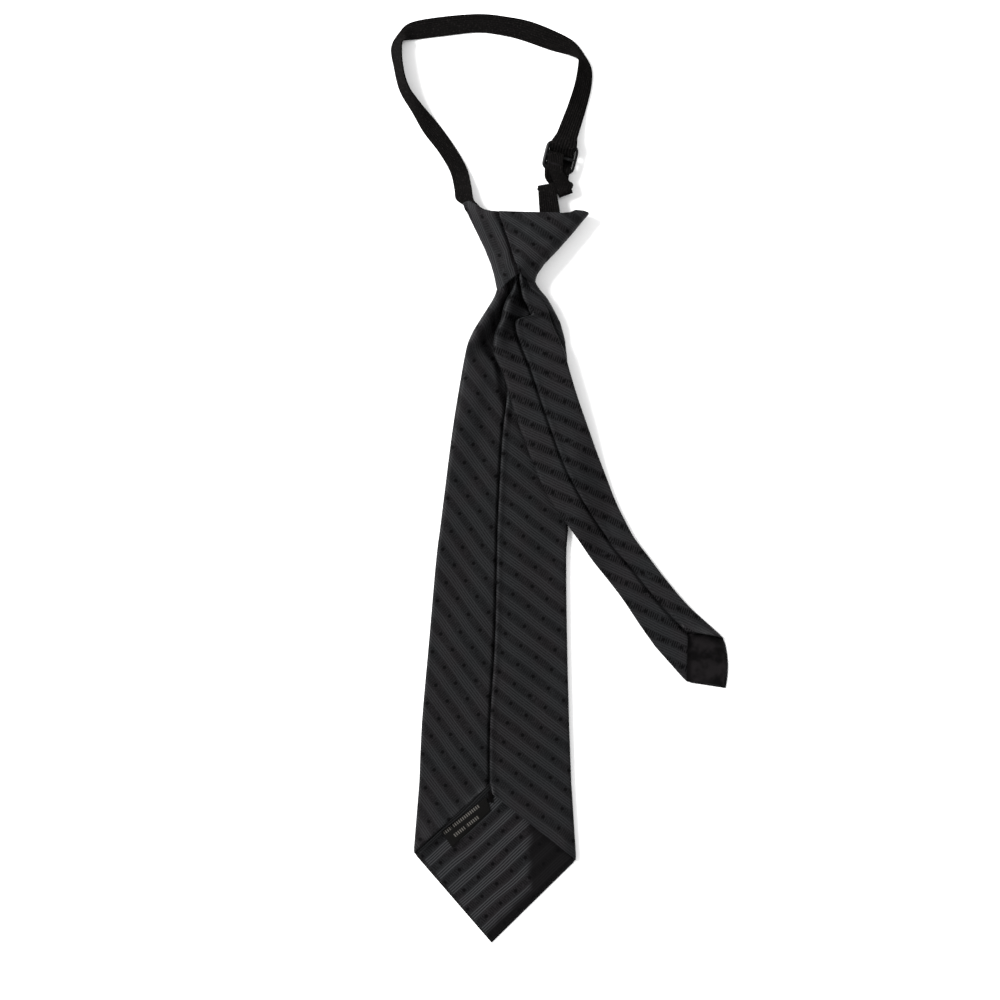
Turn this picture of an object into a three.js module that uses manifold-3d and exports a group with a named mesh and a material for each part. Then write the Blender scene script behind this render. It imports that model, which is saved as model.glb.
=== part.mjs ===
// A child's pre-tied necktie lying face down: the knot, the two folded blades and the elastic neck strap.
// Millimetres. +X is to the right, +Y runs up from the wide point to the neck strap, +Z is up from the surface.
import * as THREE from 'three';
import { mergeVertices } from 'three/addons/utils/BufferGeometryUtils.js';
import Module from 'manifold-3d';

const wasm = await Module();
wasm.setup();

// Cloth and spacing
const CLOTH = 1.0;
const GAP = 0.3;
const LAP = 8;
const LAP_SLOPE = 5;
const TIPPING_BOTTOM = CLOTH + GAP;
const LABEL_BOTTOM = TIPPING_BOTTOM + CLOTH + GAP;

// Elastic and hardware
const STRAP = 1.0;
const BAR_RADIUS = 0.7;
const BAR_HEIGHT = 3.35;
const BAR_PITCH = 6.5;
const TURN_RADIUS = BAR_RADIUS + 0.25 + STRAP / 2;
const SLIDE_CENTRE = [0.25, 160];
const SLIDE_TURN = -14;
const SLIDE_HALF_WIDTH = 7;

const COLOURS = {
  cloth: 0x2a292b,
  facing: 0x1c1b1c,
  elastic: 0x171514,
  label: 0x0b0a09,
  gloss: 0x0c0c0d,
};

const finishes = {
  cloth: new THREE.MeshStandardMaterial({ color: COLOURS.cloth, roughness: 0.75, metalness: 0 }),
  facing: new THREE.MeshStandardMaterial({ color: COLOURS.facing, roughness: 0.5, metalness: 0 }),
  elastic: new THREE.MeshStandardMaterial({ color: COLOURS.elastic, roughness: 0.85, metalness: 0 }),
  label: new THREE.MeshStandardMaterial({ color: COLOURS.label, roughness: 0.6, metalness: 0 }),
  gloss: new THREE.MeshStandardMaterial({ color: COLOURS.gloss, roughness: 0.15, metalness: 0 }),
};

const mix = (a, b, share) => a + (b - a) * share;
const smooth = (value) => {
  const share = Math.min(1, Math.max(0, value));
  return share * share * (3 - 2 * share);
};

// Rows between the rows of a table, on a Catmull-Rom curve through each column.
function curvedRows(rows, steps) {
  const result = [];
  for (let i = 0; i < rows.length - 1; i += 1) {
    const around = [rows[Math.max(i - 1, 0)], rows[i], rows[i + 1], rows[Math.min(i + 2, rows.length - 1)]];
    for (let step = 0; step < steps; step += 1) {
      const t = step / steps;
      result.push(rows[i].map((_, column) => {
        const [p, q, r, s] = around.map((row) => row[column]);
        const slopeIn = (r - p) / 2;
        const slopeOut = (s - q) / 2;
        return (2 * t ** 3 - 3 * t ** 2 + 1) * q + (t ** 3 - 2 * t ** 2 + t) * slopeIn
          + (3 * t ** 2 - 2 * t ** 3) * r + (t ** 3 - t ** 2) * slopeOut;
      }));
    }
  }
  result.push(rows[rows.length - 1]);
  return result;
}

// A closed solid between two grids of points, the face and the back of one bent sheet.
function sheetSolid(face, back) {
  const rows = face.length;
  const columns = face[0].length;
  const points = [...face.flat(), ...back.flat()];
  const at = (side, i, j) => side * rows * columns + i * columns + j;
  const index = [];
  const quad = (a, b, c, d) => index.push(a, b, c, a, c, d);
  for (let i = 0; i < rows - 1; i += 1) {
    for (let j = 0; j < columns - 1; j += 1) {
      quad(at(0, i, j), at(0, i + 1, j), at(0, i + 1, j + 1), at(0, i, j + 1));
      quad(at(1, i, j), at(1, i, j + 1), at(1, i + 1, j + 1), at(1, i + 1, j));
    }
    quad(at(0, i, 0), at(1, i, 0), at(1, i + 1, 0), at(0, i + 1, 0));
    quad(at(0, i + 1, columns - 1), at(1, i + 1, columns - 1), at(1, i, columns - 1), at(0, i, columns - 1));
  }
  for (let j = 0; j < columns - 1; j += 1) {
    quad(at(0, 0, j + 1), at(1, 0, j + 1), at(1, 0, j), at(0, 0, j));
    quad(at(0, rows - 1, j), at(1, rows - 1, j), at(1, rows - 1, j + 1), at(0, rows - 1, j + 1));
  }
  const geometry = new THREE.BufferGeometry();
  geometry.setAttribute('position', new THREE.Float32BufferAttribute(points.flatMap((p) => p.toArray()), 3));
  geometry.setIndex(facesOutward(points, index));
  return geometry;
}

// The triangles as they are, or each turned over if they enclose a negative volume.
function facesOutward(points, index) {
  let volume = 0;
  for (let k = 0; k < index.length; k += 3) {
    const [a, b, c] = [points[index[k]], points[index[k + 1]], points[index[k + 2]]];
    volume += a.dot(new THREE.Vector3().crossVectors(b, c));
  }
  return volume > 0 ? index : index.reverse();
}

// A flat strap: its two long edges, and its thickness square to both its length and its width.
function ribbonSolid(edges, thickness) {
  const face = [];
  const back = [];
  edges.forEach(([near, far], i) => {
    const middle = (k) => new THREE.Vector3().addVectors(edges[k][0], edges[k][1]).multiplyScalar(0.5);
    const along = middle(Math.min(i + 1, edges.length - 1)).sub(middle(Math.max(i - 1, 0)));
    const across = new THREE.Vector3().subVectors(far, near);
    const offset = new THREE.Vector3().crossVectors(along, across).setLength(thickness / 2);
    face.push([near.clone().add(offset), far.clone().add(offset)]);
    back.push([near.clone().sub(offset), far.clone().sub(offset)]);
  });
  return sheetSolid(face, back);
}

// Several overlapping closed shapes joined into one body.
function joined(geometries) {
  const solids = geometries.map((geometry) => {
    geometry.deleteAttribute('normal');
    geometry.deleteAttribute('uv');
    const merged = mergeVertices(geometry, 1e-4);
    return new wasm.Manifold(new wasm.Mesh({
      numProp: 3,
      vertProperties: new Float32Array(merged.attributes.position.array),
      triVerts: new Uint32Array(merged.index.array),
    }));
  });
  const mesh = solids.reduce((whole, solid) => whole.add(solid)).getMesh();
  const geometry = new THREE.BufferGeometry();
  geometry.setAttribute('position', new THREE.Float32BufferAttribute(mesh.vertProperties, 3));
  geometry.setIndex(Array.from(mesh.triVerts));
  return geometry;
}

// A round bar with domed ends between two points of the plan, at the bars' height.
function bar([x0, y0], [x1, y1], radius) {
  const start = new THREE.Vector3(x0, y0, BAR_HEIGHT);
  const end = new THREE.Vector3(x1, y1, BAR_HEIGHT);
  const geometry = new THREE.CapsuleGeometry(radius, start.distanceTo(end), 2, 8);
  const turn = new THREE.Quaternion().setFromUnitVectors(
    new THREE.Vector3(0, 1, 0),
    new THREE.Vector3().subVectors(end, start).normalize(),
  );
  geometry.applyQuaternion(turn);
  geometry.translate(...start.add(end).multiplyScalar(0.5).toArray());
  return geometry;
}

// One section of a folded blade, from the inner flap's hidden edge round both rolled sides to the outer
// flap's edge: how far each point of the cloth's middle lies across the blade and above its underside.
function bladeSection({ width, seam, left, right, middle, roll, tip }) {
  const seamAt = seam * width;
  const lap = Math.min(LAP, width * 0.22);
  const slope = Math.min(LAP_SLOPE, width * 0.12);
  const half = CLOTH / 2;
  const sides = { left: sideRoll(left), right: sideRoll(right) };
  const top = (across) => middle
    + (left - middle) * (1 - smooth((across - sides.left.reach) / roll))
    + (right - middle) * (1 - smooth((width - across - sides.right.reach) / roll));
  const lift = (across) => (CLOTH + GAP) * (1 - smooth((across - seamAt - lap) / slope));
  const points = [];
  for (const share of [0, 0.18, 0.4, 0.62, 0.82, 1]) {
    const across = mix(seamAt + lap, sides.left.reach, share);
    points.push({ across, height: top(across) - half, front: 0, side: 'left' });
  }
  for (const turn of [0.25, 0.5, 0.75]) {
    points.push({
      across: sides.left.reach - sides.left.rx * Math.sin(turn * Math.PI),
      height: left / 2 + sides.left.rz * Math.cos(turn * Math.PI),
      front: turn,
      side: 'left',
    });
  }
  for (const share of [0, tip * 0.5, tip, mix(tip, 1, 0.5), 1]) {
    const across = mix(sides.left.reach, width - sides.right.reach, share);
    points.push({ across, height: half, front: 1, side: share <= tip ? 'left' : 'right', share });
  }
  for (const turn of [0.25, 0.5, 0.75]) {
    points.push({
      across: width - sides.right.reach + sides.right.rx * Math.sin(turn * Math.PI),
      height: right / 2 - sides.right.rz * Math.cos(turn * Math.PI),
      front: 1 - turn,
      side: 'right',
    });
  }
  for (const across of [
    width - sides.right.reach,
    mix(width - sides.right.reach, seamAt + lap + slope, 0.5),
    seamAt + lap + slope,
    seamAt + lap + slope * 0.5,
    seamAt + lap,
    seamAt + lap * 0.45,
    seamAt,
  ]) {
    points.push({ across, height: top(across) + lift(across) - half, front: 0, side: 'right' });
  }
  return points;
}

// The rolled side of a blade of one thickness: its reach across and the half axes of its middle line.
function sideRoll(thickness) {
  const rz = (thickness - CLOTH) / 2;
  const rx = Math.min(rz, 1.8);
  return { rx, rz, reach: rx + CLOTH / 2 };
}

// A blade folded from one cloth to a flat hollow envelope that stays open at its point.
// rows: left x, left y, right x, right y, rest, left edge, right edge, middle, seam, roll.
function foldedBlade({ rows, steps, tip, end, restAt, endSteps }) {
  const face = [];
  const back = [];
  let last = null;
  for (const row of curvedRows(rows, steps)) {
    const [lx, ly, rx, ry, rest, left, right, middle, seam, roll] = row;
    const width = Math.hypot(rx - lx, ry - ly);
    const section = bladeSection({ width, seam, left, right, middle, roll, tip });
    const unit = [(rx - lx) / width, (ry - ly) / width];
    const place = (across, height) => {
      const x = lx + unit[0] * across;
      const y = ly + unit[1] * across;
      return new THREE.Vector3(x, y, restAt(x, y, rest) + height);
    };
    const offsets = sectionOffsets(section);
    face.push(section.map((p, j) => place(p.across + offsets[j][0], p.height + offsets[j][1])));
    back.push(section.map((p, j) => place(p.across - offsets[j][0], p.height - offsets[j][1])));
    last = { section, width, seamAt: seam * width, unit, origin: [lx, ly] };
  }
  const lastFace = face[face.length - 1];
  const lastBack = back[back.length - 1];
  const ends = last.section.map((p) => endPoint(p, last, end, tip));
  for (let step = 1; step <= endSteps; step += 1) {
    const share = step / endSteps;
    const carried = (grid) => grid.map((point, j) => {
      const p = last.section[j];
      const from = [last.origin[0] + last.unit[0] * p.across, last.origin[1] + last.unit[1] * p.across];
      return new THREE.Vector3(
        point.x + (ends[j][0] - from[0]) * share,
        point.y + (ends[j][1] - from[1]) * share,
        point.z,
      );
    });
    face.push(carried(lastFace));
    back.push(carried(lastBack));
  }
  return sheetSolid(face, back);
}

// Half the cloth's thickness, square to the section's line at each point and away from the hollow.
function sectionOffsets(section) {
  return section.map((_, j) => {
    const from = section[Math.max(j - 1, 0)];
    const to = section[Math.min(j + 1, section.length - 1)];
    const dx = to.across - from.across;
    const dz = to.height - from.height;
    const length = Math.hypot(dx, dz);
    return [(dz / length) * (CLOTH / 2), (-dx / length) * (CLOTH / 2)];
  });
}

// Where a thread of the cloth ends at the blade's point: the front on the two slanting edges to the tip,
// each flap on its own edge between the corner and the seam's end.
function endPoint(p, last, end, tip) {
  const corner = p.side === 'left' ? end.left : end.right;
  const reach = p.side === 'left' ? last.seamAt : last.width - last.seamAt;
  const inward = p.side === 'left' ? p.across : last.width - p.across;
  const flapShare = Math.min(1, inward / reach);
  const beyond = Math.max(0, inward - reach) * (p.side === 'left' ? 1 : -1);
  const flap = [0, 1].map((k) => mix(corner[k], end.seam[k], flapShare) + last.unit[k] * beyond);
  const frontReach = p.side === 'left' ? tip * last.width : (1 - tip) * last.width;
  const frontShare = Math.min(1, inward / frontReach);
  const atTip = p.share === tip;
  const front = [0, 1].map((k) => (atTip ? end.tip[k] : mix(corner[k], end.tip[k], frontShare)));
  return [0, 1].map((k) => mix(flap[k], front[k], p.front));
}

// The wide blade. Near the knot its sides are rolled up round the tail, with a trough between them.
const WIDE_COLUMNS = [
  // left x, left y, right x, right y, rest, left edge, right edge, middle, seam, roll
  [-29.3, 108.0, -14.7, 108.0, 2.7, 3.4, 2.6, 2.3, 0.44, 2],
  [-29.5, 98.0, -14.4, 98.0, 2.6, 4.0, 2.8, 2.3, 0.44, 2],
  [-29.9, 93.5, -13.9, 93.5, 2.2, 4.6, 3.0, 2.3, 0.44, 2],
  [-33.2, 88.5, -6.2, 88.5, 1.3, 6.2, 3.4, 2.6, 0.44, 4],
  [-39.7, 79.0, -0.3, 79.0, 0.3, 6.8, 3.8, 2.8, 0.44, 8],
  [-45.2, 69.0, 2.7, 69.0, 0.0, 6.4, 3.8, 3.0, 0.44, 10],
  [-48.2, 56.5, 4.0, 56.5, 0.0, 5.2, 3.7, 3.3, 0.44, 12],
  [-51.2, 39.0, 4.2, 39.0, 0.0, 4.2, 3.6, 3.5, 0.45, 14],
  [-54.2, 19.0, 4.2, 19.0, 0.0, 3.6, 3.6, 3.6, 0.44, 14],
  [-59.2, -21.0, 4.3, -21.0, 0.0, 3.6, 3.6, 3.6, 0.45, 14],
  [-61.7, -41.0, 3.4, -41.0, 0.0, 3.6, 3.6, 3.6, 0.47, 14],
  [-65.2, -81.0, 3.8, -81.0, 0.0, 3.6, 3.6, 3.6, 0.48, 14],
  [-68.7, -121.0, 4.8, -121.0, 0.0, 3.6, 3.6, 3.6, 0.466, 14],
  [-70.2, -154.0, 6.0, -154.0, 0.0, 3.6, 3.6, 3.6, 0.466, 14],
];
const WIDE_END = { left: [-72.3, -187], right: [8.3, -188.5], tip: [-34.3, -232], seam: [-34.5, -157.5] };
const WIDE_TIP_SHARE = 0.472;
const wideBladeRight = WIDE_COLUMNS[8][2];

// The tail. It lies on the wide blade, then drapes off that blade's right edge to the surface.
const DRAPE_START = 2;
const DRAPE_LENGTH = 20;
const NARROW_COLUMNS = [
  // left x, left y, right x, right y, rest, left edge, right edge, middle, seam, roll
  [-26.2, 108.0, -17.8, 108.0, 6.6, 2.3, 2.3, 2.3, 0.4, 2],
  [-26.6, 98.0, -17.2, 98.0, 6.5, 2.3, 2.3, 2.3, 0.4, 2],
  [-27.0, 92.5, -12.2, 92.5, 6.3, 2.6, 2.4, 2.3, 0.38, 3],
  [-28.0, 87.5, -7.0, 87.5, 5.9, 3.2, 2.6, 2.4, 0.35, 4],
  [-30.0, 78.0, -2.0, 79.0, 5.3, 3.8, 2.8, 2.6, 0.3, 5],
  [-32.2, 66.5, 1.0, 69.5, 5.2, 3.6, 3.0, 2.8, 0.37, 6],
  [-27.2, 49.0, 4.2, 56.0, 5.2, 3.2, 3.0, 3.0, 0.44, 8],
  [-19.7, 31.5, 8.2, 42.5, 5.2, 3.0, 3.0, 3.0, 0.45, 8],
  [-9.7, 9.0, 16.7, 19.5, 5.2, 3.0, 3.0, 3.0, 0.43, 8],
  [-1.7, -11.0, 22.7, 1.5, 5.2, 3.0, 3.0, 3.0, 0.48, 8],
  [9.2, -31.0, 30.0, -15.5, 5.2, 3.0, 3.0, 3.0, 0.5, 8],
  [20.2, -46.0, 38.5, -32.0, 5.2, 3.2, 3.2, 3.2, 0.56, 8],
  [31.7, -61.0, 49.2, -46.0, 5.2, 3.4, 3.4, 3.4, 0.57, 8],
  [47.7, -84.2, 66.2, -65.7, 5.2, 3.6, 3.6, 3.6, 0.63, 8],
];
const NARROW_END = { left: [62.8, -102], right: [82.7, -81.5], tip: [83.0, -105], seam: [62.0, -75.5] };
const NARROW_TIP_SHARE = 0.42;

// How high a sheet's underside is at a place: at its rest height over the wide blade, then down to nothing.
function drapedRest(x, y, rest) {
  return rest * (1 - smooth((x - wideBladeRight - DRAPE_START) / DRAPE_LENGTH));
}

// A flat facing or label: a straight-sided outline of one cloth's thickness.
function flatPiece(outline, bottom) {
  const shape = new THREE.Shape(outline.map(([x, y]) => new THREE.Vector2(x, y)));
  const geometry = new THREE.ExtrudeGeometry(shape, { depth: CLOTH, bevelEnabled: false });
  geometry.translate(0, 0, bottom);
  return geometry;
}

const WIDE_FACING = [[-34.5, -151], [-66, -184.5], [-34.3, -229], [2, -185.5]];
const NARROW_FACING = [[60.5, -77.5], [63.5, -99.5], [81.3, -103.2], [81.2, -83], [77, -80]];
const LABEL = [[-58.5, -177.1], [-36.2, -159.6], [-34.5, -166], [-52.8, -184.6]];

// The knot: one cloth wrapped round to a flattened tapering tube, its right end lapped over the left.
const KNOT_ROWS = [
  // y, left, right, base, height, squareness, seam x
  [133.5, -46.2, 14.6, 0.9, 10.4, 2.5, -30.7],
  [129.0, -44.7, 12.2, 0.4, 11.6, 2.5, -29.2],
  [121.5, -40.7, 6.2, 0.0, 12.4, 2.6, -26.7],
  [114.0, -37.2, -0.2, 0.0, 12.2, 2.8, -24.2],
  [106.5, -34.2, -7.2, 0.4, 11.6, 3.4, -21.7],
  [101.0, -32.6, -11.0, 0.7, 11.4, 4.0, -20.4],
  [94.0, -31.3, -12.3, 0.9, 11.2, 4.0, -20.2],
];
const KNOT_TOP = 133.5;
const KNOT_BOTTOM = 94;
const KNOT_LAP = 8;
const EAR_RISE = 3;
const EAR_START = -40.5;
const EAR_LENGTH = 5;
const NOTCH = { x: -20.2, y: 101, leftX: -31, leftY: 93.5, rightX: -12.3, rightY: 97.5 };

function knotRow(y) {
  const rows = KNOT_ROWS;
  const found = rows.findIndex((row) => row[0] <= y);
  const next = found < 0 ? rows.length - 1 : Math.max(1, found);
  const share = Math.min(1, Math.max(0, (rows[next - 1][0] - y) / (rows[next - 1][0] - rows[next][0])));
  return rows[next].map((value, column) => mix(rows[next - 1][column], value, share));
}

// The knot's lower edge: a notch cut up to the seam on the back, straight on the front.
function knotLowerEdge(x, backShare) {
  const side = x < NOTCH.x ? [NOTCH.leftX, NOTCH.leftY] : [NOTCH.rightX, NOTCH.rightY];
  const share = Math.min(1, Math.abs(x - NOTCH.x) / Math.abs(side[0] - NOTCH.x));
  return mix(KNOT_BOTTOM, mix(NOTCH.y, side[1], share), backShare);
}

function knotAngle(x, centre, halfWidth, squareness) {
  const share = Math.min(1, Math.max(-1, (x - centre) / halfWidth));
  return Math.acos(Math.sign(share) * Math.abs(share) ** (squareness / 2));
}

function knotSolid(rowSteps, turnSteps) {
  const face = [];
  const back = [];
  for (let i = 0; i <= rowSteps; i += 1) {
    const level = i / rowSteps;
    const [, left, right, , , squareness, seam] = knotRow(mix(KNOT_TOP, KNOT_BOTTOM, level));
    const seamAngle = knotAngle(seam, (left + right) / 2, (right - left) / 2, squareness);
    const lap = Math.min(KNOT_LAP, (right - left) * 0.2);
    const start = knotAngle(seam + lap, (left + right) / 2, (right - left) / 2, squareness);
    const end = 2 * Math.PI + seamAngle;
    const outerRow = [];
    const innerRow = [];
    for (let j = 0; j <= turnSteps; j += 1) {
      const angle = mix(start, end, j / turnSteps);
      const grown = (CLOTH + GAP) * smooth((angle - 1.8 * Math.PI) / (0.3 * Math.PI));
      const nominalX = mix(left, right, 0.5) + ((right - left) / 2) * Math.cos(angle);
      const backShare = smooth(Math.sin(angle) * 1.6 + 0.3);
      const ear = EAR_RISE * smooth((EAR_START - nominalX) / EAR_LENGTH);
      const y = mix(KNOT_TOP + ear, knotLowerEdge(nominalX, backShare), level);
      for (const [row, inset] of [[outerRow, 0], [innerRow, CLOTH]]) {
        row.push(knotPoint(y, angle, grown - inset));
      }
    }
    face.push(outerRow);
    back.push(innerRow);
  }
  return sheetSolid(face, back);
}

function knotPoint(y, angle, growth) {
  const [, left, right, base, height, squareness] = knotRow(y);
  const power = 2 / squareness;
  const bulge = (value) => Math.sign(value) * Math.abs(value) ** power;
  return new THREE.Vector3(
    (left + right) / 2 + ((right - left) / 2 + growth) * bulge(Math.cos(angle)),
    y,
    base + height / 2 + (height / 2 + growth) * bulge(Math.sin(angle)),
  );
}

// The neck strap from inside the knot's left ear round the neck to the slide. Where it shows narrower than
// it is wide, it stands on its outer edge with the inner edge raised.
const NECK_ROWS = [
  // outer x, outer y, outer z, inner x, inner y, inner z
  [-40.5, 129.0, 5.9, -36.0, 131.5, 5.9],
  [-43.4, 133.0, 5.9, -38.8, 136.2, 5.9],
  [-44.8, 137.0, 5.4, -40.6, 139.2, 5.6],
  [-51.2, 140.6, 2.4, -43.6, 143.6, 3.8],
  [-52.5, 147.2, 0.5, -44.9, 149.2, 3.4],
  [-54.7, 153.0, 0.5, -46.5, 155.5, 1.0],
  [-60.2, 162.5, 0.5, -53.2, 166.9, 0.5],
  [-68.2, 173.0, 0.5, -61.7, 178.5, 0.6],
  [-73.7, 183.0, 0.5, -69.4, 187.0, 5.2],
  [-79.7, 193.5, 0.5, -75.4, 195.3, 8.2],
  [-82.7, 205.5, 0.5, -78.3, 206.0, 8.4],
  [-84.0, 215.0, 0.5, -78.6, 216.6, 7.2],
  [-80.3, 222.2, 0.5, -76.6, 218.4, 6.0],
  [-74.7, 227.6, 0.5, -72.7, 219.0, 1.0],
  [-59.7, 230.5, 0.5, -58.2, 220.8, 0.5],
  [-39.7, 232.0, 0.5, -40.2, 222.6, 0.5],
  [-24.7, 230.4, 0.5, -25.7, 220.6, 0.5],
  [-13.7, 228.0, 0.5, -16.2, 217.9, 0.5],
  [-1.7, 223.2, 0.5, -5.2, 214.0, 0.5],
  [7.2, 218.2, 0.5, 4.2, 211.4, 2.0],
  [12.2, 211.5, 0.5, 9.0, 209.0, 7.8],
  [16.0, 204.0, 0.5, 9.4, 206.6, 6.2],
  [15.7, 194.5, 0.5, 7.6, 196.8, 2.4],
  [12.7, 183.0, 0.5, 4.0, 185.6, 0.5],
];

// The strap's end: over the slide's top bar, under its middle bar, over its bottom bar, round the hook,
// and back to be sewn round the middle bar. Turn is the angle of its width to +X.
const RUN_UNDER = BAR_HEIGHT - TURN_RADIUS - STRAP - 0.25;
const RUN_OVER = BAR_HEIGHT + TURN_RADIUS;
const RUN_BELOW = BAR_HEIGHT - TURN_RADIUS;
const THREAD_IN = [
  // centre x, centre y, centre z, turn, width
  [3.2, 171.0, 2.6, -15, 9.2],
  [1.9, 166.5, RUN_OVER, -14, 9.2],
  [1.6, 165.2, RUN_OVER - 0.4, -14, 9.2],
  [1.1, 163.2, 2.8, -14, 9.2],
  [0.6, 161.2, RUN_UNDER + 0.35, -14, 9.2],
  [0.3, 160.0, RUN_UNDER, -14, 9.2],
  [0.0, 158.7, RUN_UNDER + 0.35, -14, 9.2],
  [-0.3, 156.8, 2.8, -14, 9.2],
  [-0.6, 154.8, RUN_OVER - 0.4, -14, 9.0],
  [-0.6, 153.5, RUN_OVER, -14, 8.8],
  [-0.3, 152.1, RUN_OVER - 0.4, -12, 8.4],
  [0.5, 150.2, 3.1, 0, 7.4],
  [1.5, 147.6, RUN_BELOW, 8, 6.6],
];
const HOOK_TURN = 20;
const HOOK_FOLD = [1.6, 143.8];
const HOOK_WIDTH = 6.4;
const THREAD_BACK = [
  [1.4, 147.6, RUN_OVER, 8, 6.6],
  [0.3, 150.8, RUN_OVER + 0.9, 0, 7.4],
  [-1.4, 153.7, RUN_OVER + STRAP + 0.35, -14, 8.2],
  [-1.9, 156.8, RUN_OVER + 0.9, -14, 8.0],
];
const SEWN_TURN = -14;
const SEWN_FOLD = [-1.6, 160.5];
const SEWN_WIDTH = 7.8;
const THREAD_END = [[-1.9, 158.9, 2.7, -14, 7.8]];

// Half a turn of the strap round a bar, from one side of the bar's height to the other.
function foldRows([x, y], turn, width, direction, fromBelow) {
  const angle = THREE.MathUtils.degToRad(turn);
  const along = [Math.sin(angle) * direction, -Math.cos(angle) * direction];
  return [0, 0.25, 0.5, 0.75, 1].map((share) => {
    const swing = Math.PI * share;
    const out = TURN_RADIUS * Math.sin(swing);
    const rise = TURN_RADIUS * Math.cos(swing) * (fromBelow ? -1 : 1);
    return [x + along[0] * out, y + along[1] * out, BAR_HEIGHT + rise, turn, width];
  });
}

function edgesFromCentre([x, y, z, turn, width]) {
  const angle = THREE.MathUtils.degToRad(turn);
  const reach = [Math.cos(angle) * (width / 2), Math.sin(angle) * (width / 2)];
  return [
    new THREE.Vector3(x + reach[0], y + reach[1], z),
    new THREE.Vector3(x - reach[0], y - reach[1], z),
  ];
}

function neckStrap() {
  const loop = curvedRows(NECK_ROWS, 2).map(([ox, oy, oz, ix, iy, iz]) => [
    new THREE.Vector3(ox, oy, Math.max(oz, STRAP / 2)),
    new THREE.Vector3(ix, iy, Math.max(iz, STRAP / 2)),
  ]);
  const thread = [
    ...THREAD_IN,
    ...foldRows(HOOK_FOLD, HOOK_TURN, HOOK_WIDTH, 1, true),
    ...THREAD_BACK,
    ...foldRows(SEWN_FOLD, SEWN_TURN, SEWN_WIDTH, -1, false),
    ...THREAD_END,
  ];
  return ribbonSolid([...loop, ...thread.map(edgesFromCentre)], STRAP);
}

// The short strap: out of the knot, round the hook's tongue and back into the knot.
const SHORT_TURN = 8;
const SHORT_FOLD = [-6.8, 146.2];
const SHORT_WIDTH = 8.8;
function shortStrap() {
  const rows = [
    [-5.3, 127.0, 4.4, 0, 9.2],
    [-5.3, 133.0, 4.0, 0, 9.2],
    [-5.8, 139.5, 2.6, 3, 9.0],
    ...foldRows(SHORT_FOLD, SHORT_TURN, SHORT_WIDTH, -1, true),
    [-5.8, 139.5, 5.0, 3, 9.0],
    [-5.3, 133.0, 5.4, 0, 9.2],
    [-5.3, 127.0, 5.8, 0, 9.2],
  ];
  return ribbonSolid(rows.map(edgesFromCentre), STRAP);
}

// The slide: three bars between two side rails, turned a little in the plan.
function slideAdjuster() {
  const angle = THREE.MathUtils.degToRad(SLIDE_TURN);
  const at = (along, side) => [
    SLIDE_CENTRE[0] + Math.cos(angle) * side - Math.sin(angle) * along,
    SLIDE_CENTRE[1] + Math.sin(angle) * side + Math.cos(angle) * along,
  ];
  const bars = [-BAR_PITCH, 0, BAR_PITCH].map((along) => (
    bar(at(along, -SLIDE_HALF_WIDTH), at(along, SLIDE_HALF_WIDTH), BAR_RADIUS)
  ));
  const rails = [-SLIDE_HALF_WIDTH, SLIDE_HALF_WIDTH].map((side) => (
    bar(at(-BAR_PITCH, side), at(BAR_PITCH, side), BAR_RADIUS)
  ));
  return joined([...bars, ...rails]);
}

// The hook: a hairpin whose lower leg carries the neck strap and whose longer tongue holds the short strap.
const HOOK = { tongue: [-9.6, 145.7], upper: [5.4, 147.8], lower: [5.9, 145.3], leg: [-0.9, 142.9] };
function hookClasp() {
  return joined([
    bar(HOOK.tongue, HOOK.upper, BAR_RADIUS),
    bar(HOOK.upper, HOOK.lower, BAR_RADIUS),
    bar(HOOK.lower, HOOK.leg, BAR_RADIUS),
  ]);
}

const tie = new THREE.Group();

function piece(name, geometry, finish) {
  const mesh = new THREE.Mesh(geometry, finishes[finish]);
  mesh.name = name;
  geometry.computeVertexNormals();
  tie.add(mesh);
}

piece('wide_blade', foldedBlade({
  rows: WIDE_COLUMNS,
  steps: 2,
  tip: WIDE_TIP_SHARE,
  end: WIDE_END,
  restAt: (x, y, rest) => rest,
  endSteps: 4,
}), 'cloth');
piece('wide_tipping', flatPiece(WIDE_FACING, TIPPING_BOTTOM), 'cloth');
piece('label', flatPiece(LABEL, LABEL_BOTTOM), 'label');
piece('narrow_blade', foldedBlade({
  rows: NARROW_COLUMNS,
  steps: 2,
  tip: NARROW_TIP_SHARE,
  end: NARROW_END,
  restAt: drapedRest,
  endSteps: 3,
}), 'cloth');
piece('narrow_tipping', flatPiece(NARROW_FACING, TIPPING_BOTTOM), 'facing');
piece('knot', knotSolid(9, 30), 'cloth');
piece('neck_strap', neckStrap(), 'elastic');
piece('short_strap', shortStrap(), 'elastic');
piece('slide_adjuster', slideAdjuster(), 'gloss');
piece('hook_clasp', hookClasp(), 'gloss');

export default tie;
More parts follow.
